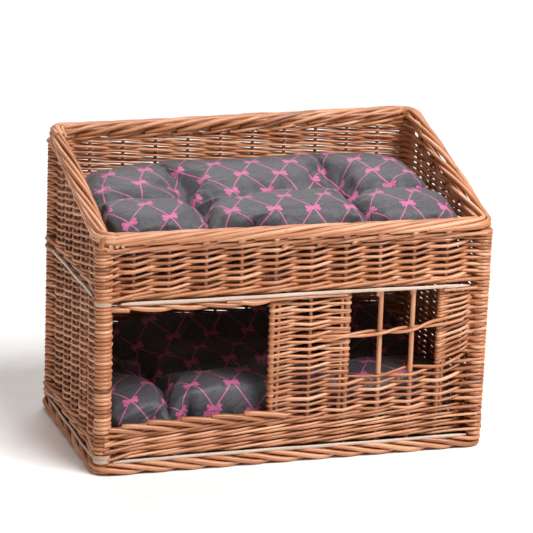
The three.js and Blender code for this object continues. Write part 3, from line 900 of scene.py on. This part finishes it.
def make_lintel():
    """The rods that close the doorway's head, each one diving behind the next, and the head rod,
    which leaves out the window."""
    rods = Bundle("door_lintel_plait")
    low = DOOR_TOP
    radius = 3.7
    first_end = x_to_s(-278)
    stub = [(x_to_s(-312), low + 6.5, 4.0), (x_to_s(-298), low + 6.0, 8.0), (first_end, low + 5.0, 8.6)]
    stroke(rods, FRONT.at, stub[::-1], radius * 1.1, blunt=True, cut=(0,))
    for k in range(4):
        shape = LINTEL_ROD + (first_end - 3 + 57.5 * k, low, 0)
        if k == 3:  # the last one rises behind the jamb
            shape[4:, 1] = low + np.array([7, 12, 14])
        stroke(rods, FRONT.at, shape, radius)
    core_rods(rods, FRONT.at, 12, x_to_s(JAMB_DOOR[0][0]) - 1, ((low + 7.5, 0.0), (low + 5.0, -5.0)),
              radius * 0.9, count=30)
    rods.build(["door_lintel", "door_head"])
    head = Bundle("door_head_rod")
    s = np.linspace(x_to_s(-120), x_to_s(305), 60)
    z = LATH_FRONT[0][2] - 3.0 + 0.8 * np.sin(s * 0.02)
    for part in (s < x_to_s(88), s > x_to_s(243)):
        head.rod(FRONT.at(s[part], z[part], 7.6), 2.9, sides=8)
    head.build([])


SILL_ENDS = (-284, -243, -188, -138, -84)  # x of the blunt ends that step up along the sill


def make_sill():
    """The doorway's threshold: blunt rods that overlap like a row of scales."""
    rods = Bundle("door_sill_plait")
    high_z = box_mm("door_sill_border")[1][2]
    radius = 4.1
    start, end = x_to_s(-299), x_to_s(JAMB_DOOR[0][0])

    def top(s):
        return np.interp(s, [start, start + 55, end], [high_z - 8, high_z - 2.5, high_z + 1])

    for x in (-336, *SILL_ENDS):
        s = x_to_s(x)
        shape = SILL_ROD + (s, top(s) - radius, 0)
        past = 4
        if x == SILL_ENDS[-1]:  # the last one passes in front of the jamb
            shape[4:, 2] = 6.0, -3.0
            past = 34
        stroke(rods, FRONT.at, shape, radius, blunt=True, span=(4, end + past), tone=rng.normal(0.38, 0.1))
    for drop, n in ((11.5, 1.0), (9.5, -4.5)):
        s = np.linspace(start - 4, end + 2, 30)
        rods.rod(FRONT.at(s, top(s) - radius - drop + 3, n), radius * 0.9, sides=8)
    rods.build(["door_sill_border"])


def make_front_foot_waling():
    rods = Bundle("front_sill_waling")
    rounds = 4
    low = WALL_BOTTOM + 4.5

    def centre(s, turn):
        top = np.interp(s, [0, x_to_s(-47), FRONT.length], [68.0, 74.0, 76.0])
        return low + (top - low) * (turn + 0.5) / rounds

    wale(rods, FRONT, FRONT_STAKES, centre, rounds, radius=2.7, lift=5.0)
    put_stakes(rods, FRONT, [s for s in FRONT_STAKES[1:-1] if s < x_to_s(-60)], STICK_FOOT, 76)
    rods.build(["front_sill_panel"])


DOOR_S, LEFT_S, RIGHT_S = (x_to_s((low[0] + high[0]) / 2) for low, high in (JAMB_DOOR, JAMB_LEFT, JAMB_RIGHT))
PANEL_TOP = LATH_FRONT[0][2] - 4.0
PANEL_BOTTOM = WINDOW_SILL_LEFT - 1.5  # of the panel between the doorway and the window


def make_under_window():
    rods = Bundle("front_window_panel_weave")
    stakes = [DOOR_S, MIDDLE_STAKE, LEFT_S - 3, *MULLIONS, RIGHT_S + 3, FRONT.length]
    rows = 12
    knots = [DOOR_S, LEFT_S, RIGHT_S, FRONT.length]
    tops = [WINDOW_SILL_LEFT - 11, WINDOW_SILL_LEFT - 2, WINDOW_SILL_RIGHT - 2, WINDOW_SILL_RIGHT + 18]

    def height(i, s):
        floor = np.interp(s, [DOOR_S, FRONT.length], [63.0, 80.0])
        return floor + (np.interp(s, knots, tops) - floor) * (i + 0.2) / (rows - 0.6)

    weave(rods, FRONT, stakes, range(rows), height, alternate, ROD_RADIUS * 0.98, ends=("jamb", "post"),
          slot=2.3)
    rods.build(["front_window_panel"])


def make_middle_panel():
    rods = Bundle("front_middle_panel_weave")
    stakes = [DOOR_S, MIDDLE_STAKE, LEFT_S]
    count = int((PANEL_TOP - PANEL_BOTTOM) / 5.1)

    def height(i, s):
        sag = (2.2 * np.sin(i * 0.55) + rng.normal(0, 0.8)) * (s - DOOR_S) / (LEFT_S - DOOR_S)
        climb = np.interp(i, [0, count], [9.0, 4.0]) * (s - LEFT_S) / (LEFT_S - DOOR_S)
        level = PANEL_BOTTOM + (PANEL_TOP - PANEL_BOTTOM) * (i + 0.5) / count
        return level + climb + sag + rng.normal(0, 0.4)

    weave(rods, FRONT, stakes, range(count), height, alternate, ROD_RADIUS * 0.92, ends=("jamb", "jamb"),
          slot=2.4, stake_radius=STAKE_RADIUS * 0.9)
    put_stakes(rods, FRONT, [MIDDLE_STAKE, x_to_s(76.0), x_to_s(-30)], STICK_FOOT, PANEL_TOP + 4)
    rods.build(["front_middle_panel"])


def make_right_panel():
    rods = Bundle("front_right_panel_weave")
    count = int((PANEL_TOP - WINDOW_SILL_RIGHT) / 5.0)

    def height(i, s):
        climb = (s - RIGHT_S) * np.interp(i, [0, count * 0.5, count], [0.34, 0.24, 0.06])
        return WINDOW_SILL_RIGHT + 1 + (PANEL_TOP - WINDOW_SILL_RIGHT - 3) * (i + 0.5) / count + climb

    def side(i, j):
        return 1 if j == 0 else alternate(i, j)

    weave(rods, FRONT, [RIGHT_S, RIGHT_S + 30, FRONT.length], range(count), height, side,
          FINE_RADIUS * 1.04, ends=("jamb", "post"), stake_radius=STAKE_RADIUS * 0.5)
    put_stakes(rods, FRONT, [RIGHT_S + 7.5], STICK_FOOT, PANEL_TOP + 4)
    rods.build(["front_right_panel"])


JAMB_TURNS_FROM, JAMB_TURN_PITCH, JAMB_TURN_SHARE = 88.0, 4.7, 0.35  # height, spacing, chance of a turn


def make_jambs():
    """The sticks beside the doorway and the window. The doorway's has a few rods wound round it."""
    names = ("door_jamb_stick", "window_jamb_stick_left", "window_jamb_stick_right")
    for name, s in zip(names, (DOOR_S, LEFT_S, RIGHT_S)):
        rods = Bundle(name + "_round")
        z = np.linspace(STICK_FOOT, PANEL_TOP + 4, 18)
        rods.rod(FRONT.at(s + 0.6 * np.sin(z * 0.02), z, 0), JAMB_RADIUS - 2.0, sides=10)
        if name == "door_jamb_stick":
            angle = circle(14)
            reach = JAMB_RADIUS - FINE_RADIUS
            for level in np.arange(JAMB_TURNS_FROM, PANEL_BOTTOM, JAMB_TURN_PITCH):
                ring = FRONT.at(s + reach * np.sin(angle), level, reach * np.cos(angle))
                if rng.uniform() < JAMB_TURN_SHARE:
                    rods.rod(ring, FINE_RADIUS, closed=True, first=(0, 0, 1))
        rods.build([name])


def make_window_bars():
    """The two upright sticks in the window, and the two rods that twist round them."""
    for name, tilt in (("window_mullion_left", 1.5), ("window_mullion_right", 2.0)):
        low, high = box_mm(name)
        centre = x_to_s((low[0] + high[0]) / 2)
        rods = Bundle(name + "_stake")
        z = np.linspace(STICK_FOOT, LATH_FRONT[0][2] + 1, 26)
        bow = tilt * (z - 150) / 130 * 0.5 + 0.7 * np.sin(z * 0.018)
        radius = (high[0] - low[0]) / 2
        taper = np.linspace(radius * 1.03, radius * 0.92, 26)
        rods.rod(FRONT.at(centre + bow, z, 0.0), taper, sides=10, tone=0.62)
        rods.build([name])
    low, high = box_mm("window_transom_rod_front")
    left, right = x_to_s(low[0]) - 14, x_to_s(high[0]) + 14
    first, second = MULLIONS

    def middle(s):
        return np.interp(s, [left, first, second, right], [204.0, 205.5, 208.5, 220.5])

    knots = [left - 57, left - 22, left, (left + first) / 2, first, (first + second) / 2, second,
             (second + right) / 2, right, right + 16, right + 30]
    tracks = {  # how far above the middle, and how far out, each rod lies at the knots
        "front": ([-8, -4, 0.5, -2.4, 0, 3.2, 0, -3.0, -4.5, -2, 1],
                  [-6, 6.5, 8.5, 3.5, 7.2, 3.0, -7.2, 2.0, 8.5, 8, 7]),
        "back": ([-3, 1.5, 1.5, 3.2, 0, -2.4, 0, 3.6, 5.0, 8, 11],
                 [-6, 6.0, 7.5, 3.0, -7.2, 3.0, 7.2, 4.5, 8.5, 8, 7]),
    }
    for name, (rise, out) in tracks.items():
        rods = Bundle("window_transom_rod_" + name + "_twisted")
        line = smooth_path([(s, middle(s) + up, n) for s, up, n in zip(knots, rise, out)], 4.0)
        rods.rod(FRONT.at(*line.T), 2.7, sides=8, tone=0.6)
        rods.build(["window_transom_rod_" + name])


# ---------------- the other three walls
FOOT_BAND, BELT_BAND = 30.0, 14.0  # height of the waling at the foot and at the tray
PLAIN_ROWS = range(-12, 110)


def plain_wall(name, count, pitch, radius, slot, tops, doubled=True, lower=(1, 1)):
    """A lower weave, the belt at the tray and an upper weave that ends at tops under the rim. lower
    says how much thicker, and with how much of the slot, the lower weave is."""
    wall = SIDES[name]
    stakes = np.linspace(0, wall.length, count + 1)
    parity = (0, 1) if wall is BACK else (1, 0)

    def wall_top(s):
        return np.interp(s, [0, wall.length], tops)

    def height(i, s):
        return pitch * i + pitch * 0.93 * np.interp(s, stakes, np.arange(len(stakes)))

    rods = Bundle("lower_wall_" + name + "_weave")
    weave(rods, wall, stakes, PLAIN_ROWS, height, alternate, radius * lower[0], slot=slot * lower[1],
          limits=(WALL_BOTTOM + FOOT_BAND - 3, SIDE_BELT_BOTTOM + 6), parity=parity)
    wale(rods, wall, stakes, WALL_BOTTOM + 3.5, 2, 12.5, parity=parity)
    put_stakes(rods, wall, stakes[1:-1], STICK_FOOT, SIDE_BELT_BOTTOM + 4, doubled=doubled)
    rods.build(["lower_wall_" + name])
    rods = Bundle("belt_" + name + "_waling")
    edge_rods(rods, wall, SIDE_BELT_BOTTOM + np.array([-7.0, -1.0, 5.0, 11.0, 17.0]))
    wale(rods, wall, stakes, SIDE_BELT_BOTTOM - 9, 2, 11.5, parity=parity)
    rods.build(["belt_" + name])
    rods = Bundle("upper_wall_" + name + "_weave")
    weave(rods, wall, stakes, PLAIN_ROWS, height, alternate, radius, slot=slot,
          limits=(SIDE_BELT_BOTTOM + BELT_BAND - 4, lambda s: wall_top(s) - 6), parity=parity)
    wale(rods, wall, stakes, lambda s, turn: wall_top(s) - 3.0, parity=parity)
    put_stakes(rods, wall, stakes[1:-1], SIDE_BELT_BOTTOM + 4, lambda s: wall_top(s) + 6, doubled=doubled)
    rods.build(["upper_wall_" + name])


def make_plain_walls():
    front = FRONT_RIM_BOTTOM
    plain_wall("left", 6, 5.5, ROD_RADIUS * 1.04, 1.7, (BACK_LEFT_TOP - 4, front - 2))
    plain_wall("right", 6, 5.0, ROD_RADIUS * 1.17, 0.7, (front - 2, BACK_RIGHT_TOP - 4))
    plain_wall("back", 11, 4.7, ROD_RADIUS * 0.93, 1.9, (BACK_RIGHT_TOP, BACK_LEFT_TOP), doubled=False,
               lower=(1.12, 0.4))


# ---------------- laths, skeins, floors
LATH_HALF = 2.9  # half the height of a lath
LATH_OUT = 10.6  # how far out its middle lies
SKEIN_WIDTH = 6.4
FLOOR_BARS, FLOOR_PITCH = 10, 6.3  # slim bars in a floor, and the spacing of its weavers


def lath(node, wall, trim, bottom):
    """A peeled strip that lies along a wall and ends trim before each of its posts."""
    rods = Bundle(node + "_strip")
    low, high = trim, wall.length - trim
    s = np.linspace(low, high, 48)
    z = bottom + LATH_HALF + 0.54 * np.sin(s * 0.013 + rng.uniform(0, 6))
    n = LATH_OUT + 0.5 * np.sin(s * 0.05 + rng.uniform(0, 6))
    height = LATH_HALF * (1 + 0.05 * np.sin(s * 0.07))
    taper = np.minimum(1, np.minimum(s - low, high - s) / 25 + 0.35)
    rods.rod(wall.at(s, z, n), height * taper, sides=8, flat=0.55, square=0.7, tone=0.36, first=(0, 0, 1))
    rods.build([node], slot="peeled_willow", material=LATH)


def make_laths():
    for name, wall in SIDES.items():
        trim = 25 if wall in (FRONT, BACK) else 20
        lath("mid_lath_" + name, wall, trim, box_mm("mid_lath_" + name)[0][2])
        lath("bottom_lath_" + name, wall, 16, box_mm("bottom_lath_" + name)[0][2] - 1.5)


def make_skeins():
    """Peeled skein wound flat round the front left post."""
    angle = circle(28)
    reach = POST_RADIUS - 0.9
    for name in ("skein_wrap_foot", "skein_wrap_belt"):
        low, high = box_mm(name)
        rods = Bundle(name + "_strip")
        turns = max(1, int(round((high[2] - low[2]) / SKEIN_WIDTH)))
        pitch = (high[2] - low[2]) / turns
        for k in range(turns):
            z = low[2] + pitch * (k + 0.5) + 0.4 * np.sin(angle + 1)
            ring = FRONT.at(reach * np.cos(angle), z, reach * np.sin(angle))
            rods.rod(ring, pitch * 0.48, flat=0.2, sides=8, square=0.7, closed=True, tone=0.12,
                     first=(0, 0, 1))
        rods.build([name], slot="peeled_willow", material=LATH)


def make_floors():
    """Both floors: round sticks from front to back with rods woven between slim bars."""
    for node, sticks in (("base_panel", "base_stick_"), ("tray_floor", "tray_stick_")):
        low, high = box_mm(node)
        rods = Bundle(node + "_weave")
        middle = (low[2] + high[2]) / 2
        bars = np.linspace(low[0] + 12, high[0] - 12, FLOOR_BARS)
        for x in bars:
            y = np.linspace(low[1] + 1, high[1] - 1, 12)
            rods.rod(np.stack([np.full(12, x), y, np.full(12, middle)], 1), 2.6, tone=0.4)
        places = np.concatenate([[low[0] + 3], bars, [high[0] - 3]])
        for i, y in enumerate(np.arange(low[1] + 4, high[1] - 2, FLOOR_PITCH)):
            j = np.linspace(0, len(places) - 1, (len(places) - 1) * 6 + 1)
            x = np.interp(j, np.arange(len(places)), places)
            z = middle + 3.1 * np.cos(math.pi * (j + i))
            rods.rod(np.stack([x, np.full(len(x), y), z], 1), 2.75)
        rods.build([node])
        for place in ("left", "middle", "right"):
            low, high = box_mm(sticks + place)
            stick = Bundle(sticks + place + "_round")
            y = np.linspace(low[1], high[1], 24)
            radius = (high[0] - low[0]) / 2
            centre = (low + high) / 2
            wander = 0.3 * np.sin(y * 0.02 + rng.uniform(0, 6))
            size = radius * (0.95 + 0.03 * np.sin(y * 0.05))
            stick.rod(np.stack([centre[0] + wander, y, np.full(24, centre[2])], 1), size, sides=12)
            stick.build([sticks + place], material=STICK)


# ---------------- cushions
CLOTH_STEP = 6.0  # size of the cloth's cells
CLOTH = {
    "quality": 6, "mass": 0.25, "air_damping": 2,
    "tension_stiffness": 12, "compression_stiffness": 12, "shear_stiffness": 4, "bending_stiffness": 0.12,
    "shrink_min": -0.12,  # the cover is this much larger than the space it is squeezed into
    "use_pressure": True, "uniform_pressure_force": 3.2,
}
FRAMES = 26  # steps of the cloth simulation
ROOM_HALF = (303, 153)  # half the width and depth inside the basket's walls
CREASE_HOLD = 0.75  # how firmly a fold is held down, where 1 is a tuft
CORNER_HOLD, CORNER_REACH = 0.5, 26.0  # how firmly, and over how far, the corners are held
PRINT_BLUR = 9  # cells of cloth over which the print evens out
UNDERSIDE_SHIFT = (0.4, 0.37)  # metres of print between the two sheets


def room_walls(low, high):
    """Floor and walls that the cover swells against."""
    (x0, y0, z0), (x1, y1, z1) = low * MM, high * MM
    corners = [(x, y, z) for z in (z0, z1) for x, y in ((x0, y0), (x1, y0), (x1, y1), (x0, y1))]
    faces = [(0, 1, 2, 3), (0, 4, 5, 1), (1, 5, 6, 2), (2, 6, 7, 3), (3, 7, 4, 0)]
    mesh = bpy.data.meshes.new("room")
    mesh.from_pydata(corners, [], faces)
    room = add_object("room", mesh)
    room.modifiers.new("Collision", "COLLISION")
    room.collision.thickness_outer = 0.002
    room.collision.cloth_friction = 2
    return room


def cover_mesh(name, half, floor, seam, top):
    """Two sheets sewn together at their edge. seam(x, y) is the edge's height and top(x, y) the crest
    of the upper sheet. With the mesh come the grids of its top and bottom vertices."""
    columns = int(2 * half[0] / CLOTH_STEP)
    lines = int(2 * half[1] / CLOTH_STEP)
    a, b = np.meshgrid(np.linspace(-1, 1, columns + 1), np.linspace(-1, 1, lines + 1), indexing="ij")
    x = a * half[0] * np.sqrt(1 - 0.05 * b**8)  # the corners are drawn in
    y = b * half[1] * np.sqrt(1 - 0.07 * a**8)
    rise = seam(x, y)
    upper = rise + (top(x, y) - rise) * ((1 - a**10) * (1 - b**6)) ** 0.5
    lower = rise * (1 - ((1 - a**10) * (1 - b**10)) ** 0.5)
    edge = (np.abs(a) > 1 - 1e-9) | (np.abs(b) > 1 - 1e-9)
    top_index = np.arange(a.size).reshape(a.shape)
    bottom_index = top_index.copy()
    bottom_index[~edge] = a.size + np.arange((~edge).sum())
    points = np.concatenate([
        np.dstack([x, y, upper]).reshape(-1, 3),
        np.dstack([x, y, lower])[~edge].reshape(-1, 3)])
    points[:, 2] += floor
    faces = []
    for grid, turn in ((top_index, 1), (bottom_index, -1)):  # the underside's faces turn the other way
        corners = [grid[:-1, :-1], grid[1:, :-1], grid[1:, 1:], grid[:-1, 1:]][::turn]
        faces.append(np.stack(corners, -1).reshape(-1, 4))
    faces = np.concatenate(faces)
    mesh = bpy.data.meshes.new(name)
    mesh.from_pydata((points * MM).tolist(), [], faces.tolist())
    return mesh, top_index, bottom_index, x, y


def lay_print(mesh, points, grids):
    """The print's place on the cloth: distances along the surface from the middle of each sheet."""
    layer = mesh.uv_layers.new(name="cloth")
    faces_of_sheet = (grids[0].shape[0] - 1) * (grids[0].shape[1] - 1)
    corners = np.zeros(len(mesh.loops), np.int32)
    mesh.loops.foreach_get("vertex_index", corners)
    corners = corners.reshape(2, faces_of_sheet, 4)
    blur = np.ones(PRINT_BLUR) / PRINT_BLUR
    uvs = []
    for sheet, grid in enumerate(grids):
        places = points[grid]
        runs = []
        for axis in (0, 1):
            steps = np.linalg.norm(np.diff(places, axis=axis), axis=-1)
            steps = np.moveaxis(steps, axis, 0)
            steps = np.pad(steps, ((0, 0), (PRINT_BLUR // 2, PRINT_BLUR // 2)), mode="edge")
            steps = np.apply_along_axis(lambda row: np.convolve(row, blur, mode="valid"), 1, steps)
            run = np.concatenate([np.zeros((1, steps.shape[1])), np.cumsum(steps, axis=0)])
            run = run - run[len(run) // 2]
            runs.append(np.moveaxis(run, 0, axis))
        flat = np.stack(runs, -1) * MM + sheet * np.array(UNDERSIDE_SHIFT)
        by_vertex = np.zeros((len(points), 2))
        by_vertex[grid.ravel()] = flat.reshape(-1, 2)
        uvs.append(by_vertex[corners[sheet]])
    layer.data.foreach_set("uv", np.concatenate(uvs).astype(np.float32).ravel())


def inflate(piece, pinned, room):
    """Cloth simulation: the slack cover swells inside the room and wrinkles round its pinned tufts."""
    group = piece.vertex_groups.new(name="pin")
    for index, weight in pinned.items():
        group.add([int(index)], weight, "REPLACE")
    cloth = piece.modifiers.new("Cloth", "CLOTH")
    for setting, value in CLOTH.items():
        setattr(cloth.settings, setting, value)
    cloth.settings.vertex_group_mass = "pin"
    cloth.settings.effector_weights.gravity = 0.0
    cloth.collision_settings.use_collision = True
    cloth.collision_settings.distance_min = 0.002
    cloth.collision_settings.collision_quality = 2
    cloth.collision_settings.use_self_collision = False
    cloth.point_cache.frame_start = 1
    cloth.point_cache.frame_end = FRAMES
    scene = bpy.context.scene
    for number in range(1, FRAMES + 1):
        scene.frame_set(number)
    view = bpy.context.evaluated_depsgraph_get()
    count = len(piece.data.vertices)
    made = np.zeros(count * 3, np.float32)
    piece.evaluated_get(view).data.vertices.foreach_get("co", made)
    piece.modifiers.remove(cloth)
    piece.vertex_groups.clear()
    piece.data.vertices.foreach_set("co", made)
    piece.data.update()
    bpy.data.objects.remove(room)
    scene.frame_set(1)


def smooth_limit(values, low, high, high_soft, low_soft=3.0):
    """Values pressed into low..high, gently within high_soft and low_soft of the two."""
    edge = high - high_soft
    values = np.where(values > edge, high - high_soft * np.exp((edge - values) / high_soft), values)
    edge = low + low_soft
    return np.where(values < edge, low + low_soft * np.exp((values - edge) / low_soft), values)


class Creases:
    """The folds that run from the tufts to the front and back edges and, shallower, from side to side."""

    def __init__(self, tufts, deep, shallow):
        self.tufts, self.deep, self.shallow = tufts, deep, shallow

    def lines(self, x, y):
        """Distance to each fold and how deep it is there."""
        made = []
        for k, (tuft_x, tuft_y) in enumerate(self.tufts):
            away = np.abs(y - tuft_y)
            line = tuft_x + 9 * np.sin(away / 34 + 2.1 * k) * np.clip(away / 40, 0, 1)
            ease = 1 - 0.7 * np.clip((y - tuft_y) / 110, 0, 1)
            depth = self.shallow * ease + self.deep * np.exp(-away / 42)
            made.append((np.abs(x - line), depth, 13 + 0.09 * away))
        nearest = np.min([np.abs(x - tuft[0]) for tuft in self.tufts], axis=0)
        level = np.mean([tuft[1] for tuft in self.tufts])
        line = level + 10 * np.sin(x / 57) * np.clip(nearest / 40, 0, 1)
        depth = self.shallow * 0.75 + self.deep * 0.7 * np.exp(-nearest / 40)
        made.append((np.abs(y - line), depth, 17.0))
        return made

    def depth(self, x, y):
        parts = [depth * np.exp(-away / width) for away, depth, width in self.lines(x, y)]
        return np.sum(np.array(parts) ** 3, axis=0) ** (1 / 3)

    def hold(self, x, y):
        """How firmly the stuffing's tufting holds the cover down, from 0 to 1."""
        firm = [(away < CLOTH_STEP * 0.7) * np.clip(depth / (self.deep + self.shallow), 0, 1)
                for away, depth, _ in self.lines(x, y)]
        return np.max(firm, axis=0)


def make_cushion(node, body, creases, seam, crest, ceiling, roof):
    """A cushion that swells inside its room, up to roof. crest is the height of its cover before it
    swells and ceiling the height that it may reach, both above the node's underside at (x, y)."""
    name = node + "_filled"
    low, high = box_mm(node)
    room_low = np.array([-ROOM_HALF[0], -ROOM_HALF[1], low[2] - 0.2])
    room_high = np.array([*ROOM_HALF, roof])
    half = (high - low)[:2] / 2 - 4

    def top(x, y):
        return crest(x, y) - creases.depth(x, y)

    mesh, top_index, bottom_index, x, y = cover_mesh(name, half, low[2], seam, top)
    piece = add_object(name, mesh)
    hold = creases.hold(x, y)
    held = hold > 0.05
    pinned = dict(zip(top_index[held], CREASE_HOLD * hold[held]))
    corner = np.hypot(np.abs(x) - half[0], np.abs(y) - half[1])
    pinned.update({index: CORNER_HOLD for index in top_index[corner < CORNER_REACH]})
    for tuft_x, tuft_y in creases.tufts:
        away = np.hypot(x - tuft_x, y - tuft_y)
        for sheet in (top_index, bottom_index):
            pinned.update({index: 1.0 for index in sheet[away < CLOTH_STEP]})
    inflate(piece, pinned, room_walls(room_low, room_high))
    points = np.zeros(len(mesh.vertices) * 3, np.float32)
    mesh.vertices.foreach_get("co", points)
    points = points.reshape(-1, 3) / MM
    for axis in range(3):
        upright = axis == 2
        limit = low[2] + ceiling(points[:, 0], points[:, 1]) if upright else room_high[axis]
        soft = 22.0 if upright else 5.0
        points[:, axis] = smooth_limit(points[:, axis], room_low[axis], limit, soft)
    lay_print(mesh, points, (top_index, bottom_index))
    mesh.vertices.foreach_set("co", (lean(points) * MM).astype(np.float32).ravel())
    finer = piece.modifiers.new("finer", "SUBSURF")
    finer.levels = finer.render_levels = 1
    bpy.context.view_layer.objects.active = piece
    bpy.ops.object.modifier_apply(modifier=finer.name)
    piece.data.shade_smooth()
    piece.data.materials.append(FABRIC)
    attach(piece, body)
    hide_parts(node)


def make_upper_cushion():
    def seam(x, y):
        ear = np.clip((x - 230) / 60, 0, 1) * np.clip((y - 90) / 50, 0, 1)
        return np.interp(y, [-150, -40, 150], [54, 64, 90]) + 18 * ear

    def crest(x, y):
        level = np.interp(y, [-150, -90, 0, 90, 150], [88, 98, 98, 108, 108])
        return level + 8 * np.clip(x / 300, 0, 1) * (y > 0)

    def ceiling(x, y):
        level = np.interp(y, [-150, -80, 0, 80, 150], [108, 118, 118, 132, 134])
        return level + 10 * np.clip(x / 300, 0, 1)

    creases = Creases([(-138, -14), (134, -6)], 34, 22)
    roof = box_mm("upper_cushion")[1][2] + 22
    make_cushion("upper_cushion", "upper_cushion", creases, seam, crest, ceiling, roof)


def make_lower_cushion():
    def climb(x, y):
        left = np.clip((-x - 225) / 70, 0, 1) * np.clip((y + 70) / 90, 0, 1)
        back = np.clip((y - 60) / 85, 0, 1)
        return 66 * np.maximum(left, back) ** 1.5

    def seam(x, y):
        return np.interp(y, [-150, -60], [36, 48]) + 0.8 * climb(x, y)

    def crest(x, y):
        return np.interp(x, [-300, -250, -120, 300], [80, 77, 84, 84]) + climb(x, y)

    def ceiling(x, y):
        return np.interp(x, [-255, -130], [90, 104]) + climb(x, y)

    creases = Creases([(-198, -20), (112, -10)], 38, 24)
    make_cushion("lower_cushion", "basket", creases, seam, crest, ceiling, 235.0)


# ---------------- the whole basket
make_camera()
make_studio()
make_front_belt()
make_parapet()
make_front_foot_waling()
make_under_window()
make_middle_panel()
make_right_panel()
make_jambs()
make_plain_walls()
make_lintel()
make_sill()
make_window_bars()
make_foot()
make_rims()
make_laths()
make_skeins()
make_floors()
for post in POSTS:
    post.build()
make_upper_cushion()
make_lower_cushion()
